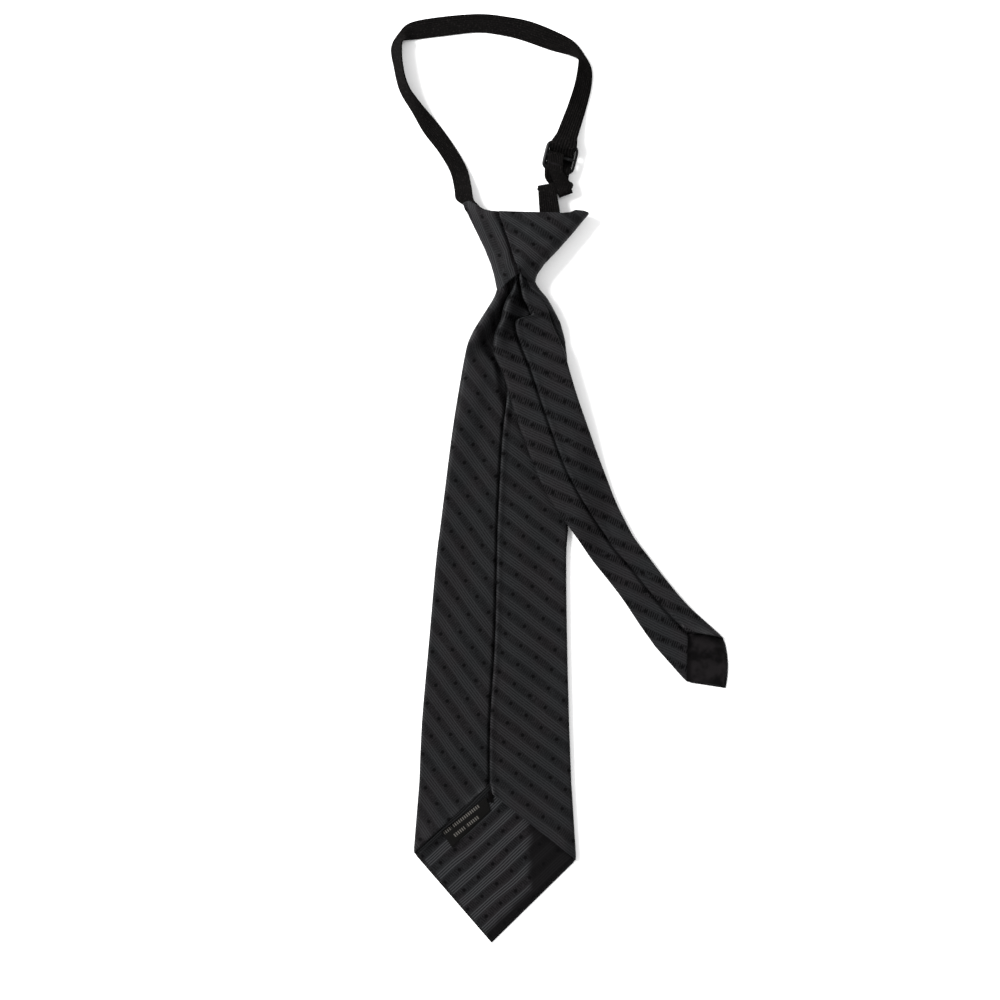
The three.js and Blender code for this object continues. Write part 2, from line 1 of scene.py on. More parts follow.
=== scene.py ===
import bpy
import numpy as np
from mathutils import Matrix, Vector


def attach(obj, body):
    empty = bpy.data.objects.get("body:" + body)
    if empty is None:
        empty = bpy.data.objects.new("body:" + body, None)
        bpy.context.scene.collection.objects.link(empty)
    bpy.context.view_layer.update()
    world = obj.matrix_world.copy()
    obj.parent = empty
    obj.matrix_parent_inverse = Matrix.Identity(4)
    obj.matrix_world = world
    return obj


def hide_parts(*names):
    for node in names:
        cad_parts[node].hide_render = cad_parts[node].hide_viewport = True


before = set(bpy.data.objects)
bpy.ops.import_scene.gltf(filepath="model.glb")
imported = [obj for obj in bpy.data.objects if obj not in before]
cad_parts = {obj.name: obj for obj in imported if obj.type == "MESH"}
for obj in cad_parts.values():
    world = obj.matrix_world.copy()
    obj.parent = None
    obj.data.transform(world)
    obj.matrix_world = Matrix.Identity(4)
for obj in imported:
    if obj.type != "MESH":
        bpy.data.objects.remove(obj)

bl_info = {
    "name": "Pre-tied Necktie",
    "version": (1, 0, 0),
    "blender": (4, 5, 0),
    "location": "3D View > Sidebar > Necktie",
    "description": "Builds a child's pre-tied necktie lying face down, with its elastic neck strap",
    "category": "Add Mesh",
}

# All tables are in millimetres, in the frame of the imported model. Meshes are written in metres.
MM = 0.001

# The cloth's thickness, and the air between the two flaps where they lap.
CLOTH = 0.8
GAP = 0.2
# How far the outer flap lies over the inner one, and how far it then takes to come down. The shares are of
# the blade's width, and hold where it is narrow.
LAP = 8.0
LAP_SHARE = 0.14
LAP_SLOPE = 18.0
SLOPE_SHARE = 0.3
# How far a rolled side reaches in from the blade's edge, at most.
SIDE_REACH = 1.8
# The hem along the outer flap's free edge: raised, fuller than the cloth, and rolled down at its lip.
HEM_WIDTH = 2.6
HEM_RISE = 0.55
HEM_FULLNESS = 0.7
HEM_REACH = 3.2
HEM_ROLL = 1.1
HEM_DROP = 0.75
# The groove that the inner flap sinks to in front of that hem.
GROOVE_DEPTH = 1.3
GROOVE_WIDTH = 2.2

# Points across each part of a blade's section, and the first step in from a free edge.
SIDE_POINTS = 13
FRONT_POINTS = 12
LAP_POINTS = 7
GROOVE_POINTS = 9
INNER_POINTS = 20
OUTER_POINTS = 34
EDGE_STEP = 0.12
# Where the hem has points, as shares of its reach, and the shares of the full thickness beside an edge.
HEM_SHARES = np.array([[1.0, 0.72, 0.52, 0.38, 0.27, 0.18, 0.11, 0.05, 0.0]])
EDGE_SHARES = (0.25, 0.7, 0.93)

# The elastic: its thickness, the depth between its ribs, their number, and the points across it.
STRAP = 1.0
RIB_DEPTH = 0.12
RIB_COUNT = 9
RIBBON_POINTS = 46
# The wire of the slide and the hook: its radius, the height of its middle, the distance from one of the
# slide's bars to the next, and the air between a bar and the strap that turns round it.
BAR_RADIUS = 1.0
BAR_HEIGHT = 3.7
BAR_PITCH = 6.5
STRAP_AIR = 0.25
TURN_RADIUS = BAR_RADIUS + STRAP_AIR + STRAP / 2
SLIDE_CENTRE = (0.35, 160.0)
SLIDE_TURN = -14.0
SLIDE_HALF_WIDTH = 7.3
# The power that squares the slide's ring, 1 for an ellipse.
SLIDE_CORNER = 0.32

# The wide blade. Near the knot its sides are rolled up round the tail, with a trough between them.
WIDE_ROWS = [
    # left x, left y, right x, right y, rest, then the heights of the left edge, right edge and middle, then
    # the seam's share of the width, the roll's width, left shelf, right shelf
    [-29.3, 108.0, -15.6, 108.0, 1.6, 6.6, 6.2, 2.4, 0.60, 2.0, 0.6, 0.6],
    [-30.6, 98.5, -12.4, 98.5, 1.2, 7.9, 7.2, 2.0, 0.60, 2.4, 0.8, 1.0],
    [-31.4, 94.0, -9.8, 94.0, 0.8, 8.6, 7.4, 1.9, 0.60, 3.0, 1.2, 1.2],
    [-33.4, 89.0, -5.7, 89.0, 0.6, 9.0, 7.2, 1.9, 0.62, 3.6, 1.6, 0.8],
    [-39.7, 79.0, -0.3, 79.0, 0.2, 9.4, 6.6, 1.9, 0.62, 6.0, 1.4, 0.2],
    [-42.8, 74.0, 1.4, 74.0, 0.0, 9.2, 5.6, 1.9, 0.62, 7.0, 1.2, 0.0],
    [-45.2, 69.0, 2.7, 69.0, 0.0, 8.9, 4.3, 1.7, 0.60, 6.6, 1.0, 0.0],
    [-46.1, 66.4, 3.0, 66.4, 0.0, 8.2, 3.9, 1.8, 0.56, 6.6, 0.8, 0.0],
    [-46.8, 63.8, 3.3, 63.8, 0.0, 6.8, 3.7, 2.2, 0.48, 8.5, 0.4, 0.0],
    [-48.2, 56.5, 4.0, 56.5, 0.0, 5.3, 3.6, 2.3, 0.44, 12.0, 0.0, 0.0],
    [-51.2, 39.0, 4.2, 39.0, 0.0, 5.3, 3.6, 2.6, 0.45, 14.0, 0.0, 0.0],
    [-54.2, 19.0, 4.2, 19.0, 0.0, 5.0, 3.4, 3.1, 0.44, 14.0, 0.0, 0.0],
    [-59.2, -21.0, 4.3, -21.0, 0.0, 4.3, 3.0, 3.4, 0.45, 14.0, 0.0, 0.0],
    [-61.7, -41.0, 3.4, -41.0, 0.0, 3.9, 3.2, 3.4, 0.47, 14.0, 0.0, 0.0],
    [-65.2, -81.0, 3.8, -81.0, 0.0, 3.4, 3.2, 3.4, 0.48, 14.0, 0.0, 0.0],
    [-68.7, -121.0, 4.8, -121.0, 0.0, 3.4, 3.2, 3.4, 0.466, 14.0, 0.0, 0.0],
    [-70.1, -152.0, 5.9, -152.0, 0.0, 3.3, 3.1, 3.2, 0.466, 14.0, 0.0, 0.0],
]
WIDE_END = {
    "left": (-73.0, -187.2),
    "right": (8.4, -190.8),
    "tip": (-34.0, -232.3),
    "inner seam": (-35.6, -153.5),
    "outer seam": (-33.4, -157.6),
    "gape": (1.5, 2.2),
    "bow": 0.0,
}
WIDE_TIP_SHARE = 0.472
WIDE_STRIPES = {"left": -53.0, "front": 45.0, "right": -38.0}

# The tail. It lies on the wide blade, then drapes off that blade's right edge to the surface.
TAIL_ROWS = [
    # left x, left y, right x, right y, rest, then the heights of the left edge, right edge and middle, then
    # the seam's share of the width, the roll's width, left shelf, right shelf
    [-24.6, 108.0, -17.4, 108.0, 5.0, 3.0, 3.0, 2.6, 0.52, 1.5, 0.4, 0.4],
    [-23.2, 98.5, -16.2, 98.5, 4.6, 4.8, 4.4, 4.0, 0.46, 1.5, 0.4, 0.4],
    [-23.6, 94.0, -14.2, 94.3, 4.2, 6.0, 5.4, 5.0, 0.48, 2.0, 0.6, 0.6],
    [-26.2, 89.8, -9.6, 90.2, 3.9, 6.6, 5.8, 5.6, 0.48, 3.0, 0.8, 0.6],
    [-28.2, 84.4, -5.8, 84.0, 3.8, 6.9, 5.8, 5.8, 0.58, 4.0, 0.8, 0.4],
    [-28.9, 81.2, -4.9, 81.2, 3.8, 6.9, 5.7, 5.8, 0.62, 4.0, 0.8, 0.2],
    [-29.4, 78.6, -4.2, 79.0, 3.8, 6.8, 5.5, 5.7, 0.33, 4.0, 0.8, 0.2],
    [-31.6, 74.0, -2.4, 74.0, 3.8, 6.0, 4.8, 5.0, 0.345, 4.0, 0.6, 0.0],
    [-32.8, 69.2, 0.0, 69.0, 3.8, 5.0, 4.0, 4.2, 0.387, 5.0, 0.4, 0.0],
    [-32.8, 62.0, 2.4, 63.2, 4.4, 4.2, 3.4, 3.6, 0.43, 6.0, 0.0, 0.0],
    [-28.0, 51.0, 4.6, 55.0, 5.0, 3.4, 3.0, 3.0, 0.437, 8.0, 0.0, 0.0],
    [-22.4, 32.5, 8.6, 41.5, 5.2, 3.0, 2.8, 2.8, 0.45, 8.0, 0.0, 0.0],
    [-16.8, 16.5, 13.6, 27.0, 5.2, 3.0, 2.8, 2.8, 0.45, 8.0, 0.0, 0.0],
    [-11.4, 2.5, 18.6, 13.0, 5.2, 3.0, 2.8, 2.8, 0.45, 8.0, 0.0, 0.0],
    [-6.2, -8.5, 23.2, 1.0, 5.2, 3.0, 2.8, 2.8, 0.47, 8.0, 0.0, 0.0],
    [1.8, -20.5, 27.9, -11.3, 5.2, 3.0, 2.8, 2.8, 0.49, 8.0, 0.0, 0.0],
    [9.3, -31.0, 32.4, -20.6, 5.2, 3.0, 2.8, 2.8, 0.51, 8.0, 0.0, 0.0],
    [16.2, -41.0, 37.2, -29.6, 5.2, 3.1, 3.0, 3.0, 0.53, 8.0, 0.0, 0.0],
    [24.2, -51.0, 43.5, -38.0, 5.2, 3.2, 3.0, 3.0, 0.56, 8.0, 0.0, 0.0],
    [31.8, -61.0, 51.5, -48.6, 5.2, 3.4, 3.2, 3.2, 0.57, 8.0, 0.0, 0.0],
    [40.0, -73.3, 60.0, -59.0, 5.2, 3.4, 3.2, 3.2, 0.60, 8.0, 0.0, 0.0],
    [47.7, -84.2, 66.2, -65.7, 5.2, 3.4, 3.2, 3.2, 0.63, 8.0, 0.0, 0.0],
]
TAIL_END = {
    "left": (63.4, -102.0),
    "right": (82.0, -79.8),
    "tip": (83.0, -105.0),
    "inner seam": (64.2, -77.4),
    "outer seam": (62.8, -76.0),
    "gape": (0.3, 5.0),
    "bow": 1.7,
}
TAIL_TIP_SHARE = 0.42
TAIL_STRIPES = {"left": -25.0, "front": 50.0, "right": -25.0}
# The x where the tail leaves the wide blade, and the distance in which it comes down.
DRAPE_FROM = 6.2
DRAPE_LENGTH = 20.0

# Where the tail's inner flap sinks away in front of the outer flap's free edge.
TAIL_FOLD = [
    # y, left x, deepest x, right x, depth
    [104.0, -21.8, -20.4, -17.0, 0.0],
    [100.5, -21.6, -20.0, -16.4, 1.8],
    [96.0, -22.2, -19.4, -15.6, 3.2],
    [89.5, -24.6, -18.4, -10.4, 4.8],
    [86.5, -25.6, -17.4, -8.4, 5.2],
    [83.5, -26.4, -16.4, -7.4, 5.2],
    [80.8, -27.0, -16.6, -7.4, 5.0],
    [79.0, -27.6, -21.4, -10.0, 4.9],
    [76.0, -29.0, -22.0, -11.0, 4.4],
    [72.5, -30.2, -21.6, -11.0, 3.6],
    [66.5, -31.0, -20.6, -10.0, 2.6],
    [61.5, -29.3, -18.8, -9.0, 1.9],
    [56.5, -25.3, -16.6, -8.0, 1.3],
    [49.0, -19.8, -13.4, -6.0, 0.8],
    [39.0, -14.8, -9.0, -4.0, 0.0],
]
# The most that the front sags beneath that fold, and how far in from its side a flap's open end gapes.
FRONT_SAG = 1.7
GAPE_REACH = 6.0

# Where the wide blade's left part swells up beside the tail, and falls away beneath the tail's edge.
WIDE_SWELL = [
    # y, level up to x, fallen at x, height
    [67.2, -38.6, -33.6, 0.0],
    [65.4, -38.6, -33.6, 1.9],
    [62.5, -38.2, -33.6, 2.2],
    [57.0, -33.6, -30.0, 2.5],
    [46.5, -31.8, -28.0, 2.5],
    [39.0, -30.8, -26.6, 2.4],
    [31.5, -28.6, -24.0, 2.1],
    [26.5, -26.8, -19.8, 1.8],
    [20.5, -22.3, -15.8, 1.1],
    [10.0, -14.0, -4.0, 0.5],
    [-5.0, -8.0, 2.0, 0.0],
]

WIDE_WAVES = [
    # height, length across, length along, phase
    [0.22, 61.0, 83.0, 0.4],
    [0.16, -37.0, 58.0, 2.1],
    [0.10, 210.0, 31.0, 1.0],
]
TAIL_WAVES = [
    # height, length across, length along, phase
    [0.18, 45.0, 52.0, 0.8],
    [0.12, -29.0, 33.0, 1.7],
]

# Corners of the flat sheets, and the heights of their undersides.
WIDE_FACING = [(-34.5, -151.0), (-70.8, -186.6), (-34.1, -230.8), (6.6, -189.9)]
TAIL_FACING = [(62.0, -77.5), (63.4, -100.8), (82.0, -103.8), (83.4, -93.0), (81.6, -81.0), (77.0, -78.6)]
LABEL = [(-58.8, -176.7), (-36.5, -159.2), (-34.5, -166.0), (-53.6, -184.6)]
FACING_BOTTOM = CLOTH + 0.15
LABEL_BOTTOM = 1.9

# The knot's section at each y: a superellipse with the seam on its back.
KNOT_ROWS = [
    # y, left, right, base, height, squareness, seam x
    [137.0, -48.4, 13.4, 0.9, 9.8, 2.3, -31.2],
    [134.0, -47.4, 13.4, 0.9, 10.2, 2.3, -30.8],
    [132.4, -46.4, 14.5, 0.9, 10.6, 2.3, -30.6],
    [131.4, -45.8, 14.6, 0.8, 10.9, 2.3, -30.3],
    [129.0, -44.7, 12.4, 0.4, 11.6, 2.25, -29.0],
    [121.5, -41.0, 6.2, 0.0, 12.2, 2.2, -26.2],
    [114.0, -37.4, -0.4, 0.0, 12.3, 2.05, -23.6],
    [106.5, -34.4, -7.6, 0.4, 12.1, 1.85, -21.0],
    [101.0, -32.8, -11.4, 0.7, 11.6, 1.75, -20.0],
    [97.0, -32.0, -12.4, 0.9, 11.1, 1.75, -20.0],
    [94.0, -31.4, -12.6, 0.9, 10.9, 1.75, -20.0],
]
# The knot's top and bottom, how far its right panel laps over the left one and rises at its edge, and the
# turn, in radians, in which its hem grows full.
KNOT_TOP = 133.5
KNOT_BOTTOM = 94.0
KNOT_LAP = 8.0
KNOT_FLAP_RISE = 1.3
KNOT_HEM_TURN = 0.12
KNOT_TOP_EDGE = [
    # x, y
    [-48.6, 135.6],
    [-47.4, 136.9],
    [-45.4, 137.9],
    [-43.6, 138.0],
    [-42.2, 137.0],
    [-40.0, 135.3],
    [-37.6, 133.7],
    [-35.0, 132.9],
    [-24.0, 132.5],
    [-10.2, 132.1],
    [0.8, 131.8],
    [5.0, 132.3],
    [8.0, 133.4],
    [12.0, 133.2],
    [14.0, 132.5],
    [14.8, 131.4],
]
# The notch in the knot's lower edge at the back, where the blades come out.
NOTCH = {"x": -20.0, "y": 101.9, "left": (-31.4, 93.4), "right": (-12.6, 97.6)}
KNOT_DENTS = [
    # x, y, reach across, reach along, depth
    [-13.0, 101.4, 4.6, 5.6, 2.0],
    [-4.0, 119.0, 9.0, 2.4, 0.7],
    [-23.0, 107.0, 2.4, 12.0, 0.6],
    [4.0, 127.0, 3.0, 3.0, 0.6],
    [-18.0, 124.0, 2.6, 6.0, 0.4],
]
KNOT_STRIPES = {"left": -82.0, "right": -40.0}

# The neck loop by both its edges, from the knot's left ear round to the slide. It stands on edge in parts.
NECK_ROWS = [
    # outer x, outer y, outer z, inner x, inner y, inner z
    [-40.5, 127.5, 5.9, -36.0, 129.5, 5.9],
    [-42.6, 131.0, 5.9, -37.8, 133.0, 5.9],
    [-45.4, 134.6, 5.6, -40.6, 136.2, 5.8],
    [-48.8, 136.6, 4.6, -42.6, 138.4, 5.2],
    [-51.9, 139.4, 2.8, -43.4, 141.4, 4.4],
    [-52.6, 144.6, 0.9, -44.2, 146.4, 3.6],
    [-54.7, 153.0, 0.5, -46.5, 155.5, 1.0],
    [-60.2, 162.5, 0.5, -53.2, 166.9, 0.5],
    [-68.2, 173.0, 0.5, -61.7, 178.5, 0.6],
    [-73.7, 183.0, 0.5, -69.4, 187.0, 5.2],
    [-79.7, 193.5, 0.5, -75.4, 195.3, 8.2],
    [-82.7, 205.5, 0.5, -78.3, 206.0, 8.4],
    [-84.0, 215.0, 0.5, -78.6, 216.6, 7.2],
    [-80.3, 222.2, 0.5, -76.6, 218.4, 6.0],
    [-74.7, 227.6, 0.5, -72.7, 219.0, 1.0],
    [-59.7, 230.5, 0.5, -58.2, 220.8, 0.5],
    [-39.7, 232.0, 0.5, -40.2, 222.6, 0.5],
    [-24.7, 230.4, 0.5, -25.7, 220.6, 0.5],
    [-13.7, 228.0, 0.5, -16.2, 217.9, 0.5],
    [-1.7, 223.2, 0.5, -5.2, 214.0, 0.5],
    [7.2, 218.2, 0.5, 4.2, 211.4, 2.0],
    [12.2, 211.5, 0.5, 9.0, 209.0, 7.8],
    [16.0, 204.0, 0.5, 9.4, 206.6, 6.2],
    [15.7, 194.5, 0.5, 7.6, 196.8, 4.2],
    [12.9, 183.0, 0.5, 4.0, 185.6, 3.6],
]
# Heights of the strap's middle under the slide, over its bars, and under the hook's wire.
RUN_UNDER = BAR_HEIGHT - TURN_RADIUS - STRAP - STRAP_AIR
RUN_OVER = BAR_HEIGHT + TURN_RADIUS
RUN_BELOW = BAR_HEIGHT - TURN_RADIUS
# The strap from there: under the slide's middle bar and round the hook's wire, then back to be sewn.
THREAD_IN = [
    # centre x, centre y, centre z, turn, width
    [3.8, 171.0, 3.4, -15.0, 10.6],
    [2.2, 166.5, RUN_OVER, -14.0, 13.2],
    [1.65, 165.2, RUN_OVER - 0.2, -14.0, 12.6],
    [1.15, 163.2, 2.8, -14.0, 12.5],
    [1.1, 161.2, RUN_UNDER + 0.3, -14.0, 13.8],
    [0.8, 160.0, RUN_UNDER, -14.0, 14.4],
    [0.4, 158.7, RUN_UNDER + 0.3, -14.0, 13.8],
    [-0.45, 156.8, 2.8, -14.0, 12.5],
    [-0.95, 154.8, RUN_OVER - 0.2, -14.0, 12.6],
    [-1.2, 153.5, RUN_OVER, -12.0, 12.8],
    [-1.4, 152.1, RUN_OVER - 0.4, -8.0, 12.3],
    [-1.4, 150.0, 3.2, 0.0, 11.9],
    [-0.5, 147.8, RUN_BELOW, 6.0, 10.2],
    [0.9, 146.2, RUN_BELOW, 14.0, 8.4],
]
# Each strap's half turns round a bar have a turn, a centre and a width of their own.
HOOK_TURN = 20.0
HOOK_FOLD = (2.5, 143.0)
HOOK_WIDTH = 7.3
THREAD_BACK = [
    # centre x, centre y, centre z, turn, width
    [1.6, 146.4, RUN_OVER, 12.0, 7.6],
    [-0.4, 150.2, RUN_OVER + 0.9, -4.0, 7.9],
    [-2.3, 153.7, RUN_OVER + STRAP + 0.35, -14.0, 7.8],
    [-2.3, 156.8, RUN_OVER + 0.9, -14.0, 7.8],
]
SEWN_TURN = -14.0
SEWN_FOLD = (-2.0, 160.5)
SEWN_WIDTH = 7.8
THREAD_END = [[-2.2, 158.9, 2.7, -14.0, 7.8]]
# The short strap: out of the knot, round the hook's end and back, in the same columns.
SHORT_IN = [[-4.7, 126.0, 4.4, 0.0, 10.2], [-4.9, 132.5, 4.0, 0.0, 10.2], [-5.6, 138.5, 2.4, 3.0, 9.6]]
SHORT_OUT = [[-5.6, 138.5, 5.4, 3.0, 9.6], [-4.9, 132.5, 5.6, 0.0, 10.2], [-4.7, 126.0, 5.8, 0.0, 10.2]]
SHORT_TURN = 10.0
SHORT_FOLD = (-6.3, 144.6)
SHORT_WIDTH = 8.9
HOOK_PATH = [(-10.2, 144.2), (4.1, 147.0), (5.1, 144.7), (-0.6, 142.6)]

# The zigzag threads of the bar tack and of the strap's sewn end.
THREADS = [
    # name, middle x, y, z, turn, half length, half width, passes, cloth node, slot
    ["bar_tack_thread", -34.4, -159.4, 1.9, -90.0, 2.6, 1.3, 8, "wide_tipping", "tie_cloth"],
    ["sewn_strap_thread", -2.3, 156.4, 6.78, -14.0, 3.2, 0.45, 13, "neck_strap", "ribbed_elastic"],
]
THREAD_RADIUS = 0.2
# Rings of a tube's domed end, and the share of the quarter turn that they take.
DOME_RINGS = 6
DOME_SHARE = 0.985

# The jacquard. Its bands are shares of one repeat, and the rest is in millimetres.
CLOTHS = {
    # name: share of the strokes, share of the lines, shade (painted shade over the whole copy), painted shade
    # at the facing's corner
    # The shade column is painted shade: each copy of the one cloth is darkened, the blade's most, to stand in
    # for the shade on its piece.
    "charcoal_jacquard_blade": (0.6, 0.42, 0.8, False),
    "charcoal_jacquard_facing": (0.7, 1.0, 0.93, True),
    "charcoal_jacquard_tail": (1.0, 0.3, 0.9, False),
    "charcoal_jacquard": (0.65, 0.5, 0.97, False),
}
STROKE_BAND = (0.08, 0.42)
LINE_BAND = (0.50, 0.97)
DOT_ROW = 0.25
DOT_SHIFT = 4.6
DOT_RADIUS = 0.95
WEAVE_PITCH = 0.36
STRIPE_DRIFT = 2.4
STROKE_SLANT = 0.12
# Where painted shade darkens the facing, in metres: right of an x, and past a slanting line near the lower
# hem.
CORNER_SHADE_SIDE = -0.0155
CORNER_SHADE_X = 0.703
CORNER_SHADE_Y = -0.711
CORNER_SHADE_HEM = 0.1350

# Pitches of the elastic's knit loops, of the label's dashes and of its weave, and the label's two rows.
KNIT_PITCH = 0.8
DASH_PITCH = 1.2
LABEL_PITCH = 0.4
LABEL_ROWS = [
    # top, bottom, start, end, start of the space, end of the space
    [0.45, 2.0, 0.6, 22.6, 5.2, 6.2],
    [4.6, 6.2, 3.6, 19.2, 10.4, 11.4],
]

# The camera looks straight down on the middle of the photograph's square. In metres, and the sensor in mm.
VIEW_CENTRE = (-0.02975, -0.011)
VIEW_WIDTH = 0.5
SENSOR_WIDTH = 36.0
FLOOR_REACH = 3.0


def number_setting(name, description, default, least, unit="LENGTH"):
    return bpy.props.FloatProperty(name=name, description=description, default=default, min=least, unit=unit)


def colour_setting(name, description, default):
    return bpy.props.FloatVectorProperty(
        name=name, description=description, default=default, min=0.0, max=1.0, size=3, subtype="COLOR")


class NecktieCloth(bpy.types.PropertyGroup):
    """The jacquard cloth of the blades and the knot."""

    repeat: number_setting("Stripe Repeat", "Distance across one repeat of the stripes", 0.0087, 0.002)
    dot_pitch: number_setting("Dot Pitch", "Distance between the dots along one row", 0.0097, 0.002)
    stroke_pitch: number_setting(
        "Stroke Pitch", "Distance between the oblique strokes of a band", 0.00115, 0.0004)
    line_pitch: number_setting("Line Pitch", "Distance between the fine light lines", 0.00118, 0.0003)
    cool: colour_setting("Cool Grey", "The ground colour where it leans to blue", (0.0058, 0.0061, 0.0067))
    warm: colour_setting("Warm Grey", "The ground colour where it leans to mauve", (0.0068, 0.0057, 0.0064))
    stroke: colour_setting("Stroke", "Colour of the dark strokes and dots", (0.0006, 0.0005, 0.0007))
    line: colour_setting("Line", "Colour of the fine light lines", (0.0300, 0.0310, 0.0325))


class NecktieTrim(bpy.types.PropertyGroup):
    """The elastic, the facing, the label and the hardware."""

    rib_pitch: number_setting("Rib Pitch", "Distance between the ribs across the elastic", 0.00102, 0.0004)
    elastic: colour_setting("Elastic", "Colour of the ribbed elastic", (0.0025, 0.0022, 0.0021))
    facing: colour_setting(
        "Facing", "Colour of the plain satin facing at the tail's end", (0.0015, 0.0013, 0.0014))
    label: colour_setting("Label", "Ground colour of the woven label", (0.0016, 0.0014, 0.0013))
    label_dash: colour_setting(
        "Label Dashes", "Colour of the plain woven dashes on the label", (0.082, 0.077, 0.070))
    gloss: colour_setting("Hardware", "Colour of the glossy slide and hook", (0.0035, 0.0035, 0.0037))


class NecktieStudio(bpy.types.PropertyGroup):
    """The floor, the lights and the camera."""

    camera_height: number_setting("Camera Height", "Height of the camera over the floor", 2.0, 0.5)
    key_power: number_setting("Key Light", "Power of the softbox above the left shoulder", 80.0, 0.0, "POWER")
    fill_power: number_setting("Fill Light", "Power of the weak softbox on the right", 12.0, 0.0, "POWER")
    ambient: number_setting("Ambient", "Brightness of the room", 0.85, 0.0, "NONE")
    floor: colour_setting("Floor", "Colour of the floor", (0.97, 0.97, 0.97))


def smooth(value):
    """3 v^2 - 2 v^3, with v held between 0 and 1."""
    share = np.clip(value, 0.0, 1.0)
    return share * share * (3 - 2 * share)


def mix(first, second, share):
    """The value at a share of the way from first to second."""
    return first + (second - first) * share


def curved_rows(rows, steps):
    """A table's rows with new ones between them, each column on a Catmull-Rom cubic through its values."""
    rows = np.asarray(rows, float)
    place = np.linspace(0, len(rows) - 1, (len(rows) - 1) * steps + 1)
    index = np.minimum(place.astype(int), len(rows) - 2)
    t = (place - index)[:, None]
    before, start = rows[np.maximum(index - 1, 0)], rows[index]
    end, after = rows[index + 1], rows[np.minimum(index + 2, len(rows) - 1)]
    return (
        (2 * t**3 - 3 * t**2 + 1) * start
        + (t**3 - 2 * t**2 + t) * (end - before) / 2
        + (3 * t**2 - 2 * t**3) * end
        + (t**3 - t**2) * (after - start) / 2
    )


def turned(points, degrees):
    """Plane points turned so that a stripe at the given angle runs along the first axis."""
    angle = np.radians(degrees)
    along = points[..., 0] * np.cos(angle) + points[..., 1] * np.sin(angle)
    across = -points[..., 0] * np.sin(angle) + points[..., 1] * np.cos(angle)
    return np.stack([along, across], -1)


def enclosed_volume(points, quads):
    """A sixth of the sum of p . (q x r) over both triangles of each quad."""
    p, q, r, s = (points[quads[:, k]] for k in range(4))
    return (np.einsum("ij,ij->i", p, np.cross(q, r)) + np.einsum("ij,ij->i", p, np.cross(r, s))).sum() / 6


def mesh_object(name, points, quads, caps=(), uv=None):
    """A smooth-shaded object from points in millimetres, quads, end caps and cloth coordinates by corner."""
    if enclosed_volume(points, quads) < 0:
        quads = quads[:, ::-1]
        caps = [cap[::-1] for cap in caps]
        uv = None if uv is None else uv[:, ::-1]
    corners = np.concatenate([quads.ravel(), *caps]).astype(np.int32)
    sizes = np.array([4] * len(quads) + [len(cap) for cap in caps], np.int32)
    mesh = bpy.data.meshes.new(name)
    mesh.vertices.add(len(points))
    mesh.vertices.foreach_set("co", (points * MM).astype(np.float32).ravel())
    mesh.loops.add(len(corners))
    mesh.loops.foreach_set("vertex_index", corners)
    mesh.polygons.add(len(sizes))
    mesh.polygons.foreach_set("loop_start", np.concatenate([[0], np.cumsum(sizes)[:-1]]).astype(np.int32))
    mesh.polygons.foreach_set("use_smooth", np.ones(len(sizes), bool))
    if uv is not None:
        layer = mesh.uv_layers.new(name="weave")
        layer.data.foreach_set("uv", uv.reshape(-1, 2).astype(np.float32).ravel())
    mesh.update(calc_edges=True)
    mesh.validate()
    obj = bpy.data.objects.new(name, mesh)
    bpy.context.scene.collection.objects.link(obj)
    return obj


def sheet_quads(rows, columns):
    """Quads of a closed sheet whose points are a face grid and then a back grid of rows by columns."""
    at = np.arange(2 * rows * columns).reshape(2, rows, columns)
    face, back = at

    def grid(a):
        return a[:-1, :-1], a[1:, :-1], a[1:, 1:], a[:-1, 1:]

    def strip(first, second):
        return first[:-1], second[:-1], second[1:], first[1:]

    sides = [
        np.stack(grid(face), -1).reshape(-1, 4),
        np.stack(grid(back), -1).reshape(-1, 4)[:, ::-1],
        np.stack(strip(face[:, 0], back[:, 0]), -1),
        np.stack(strip(face[:, -1], back[:, -1]), -1)[:, ::-1],
        np.stack(strip(face[0], back[0]), -1)[:, ::-1],
        np.stack(strip(face[-1], back[-1]), -1),
    ]
    return np.concatenate(sides)


def sheet_object(name, face, back, cloth_maps, regions):
    """A closed sheet between two grids of points. Each column of quads takes its cloth coordinates
    from the map of its region, so that a stripe can change its direction at a fold."""
    rows, columns = face.shape[:2]
    quads = sheet_quads(rows, columns)
    points = np.concatenate([face.reshape(-1, 3), back.reshape(-1, 3)])
    places = quads % (rows * columns)
    column = np.minimum(places % columns, columns - 2).min(1)
    maps = np.stack([cloth_map.reshape(-1, 2) for cloth_map in cloth_maps])
    return mesh_object(name, points, quads, uv=maps[regions[column][:, None], places])


def rounded(count):
    """Shares of the full thickness over a number of points, less at both ends like a turned edge."""
    share = np.ones(count)
    share[: len(EDGE_SHARES)] = EDGE_SHARES
    share[-len(EDGE_SHARES):] = EDGE_SHARES[::-1]
    return share


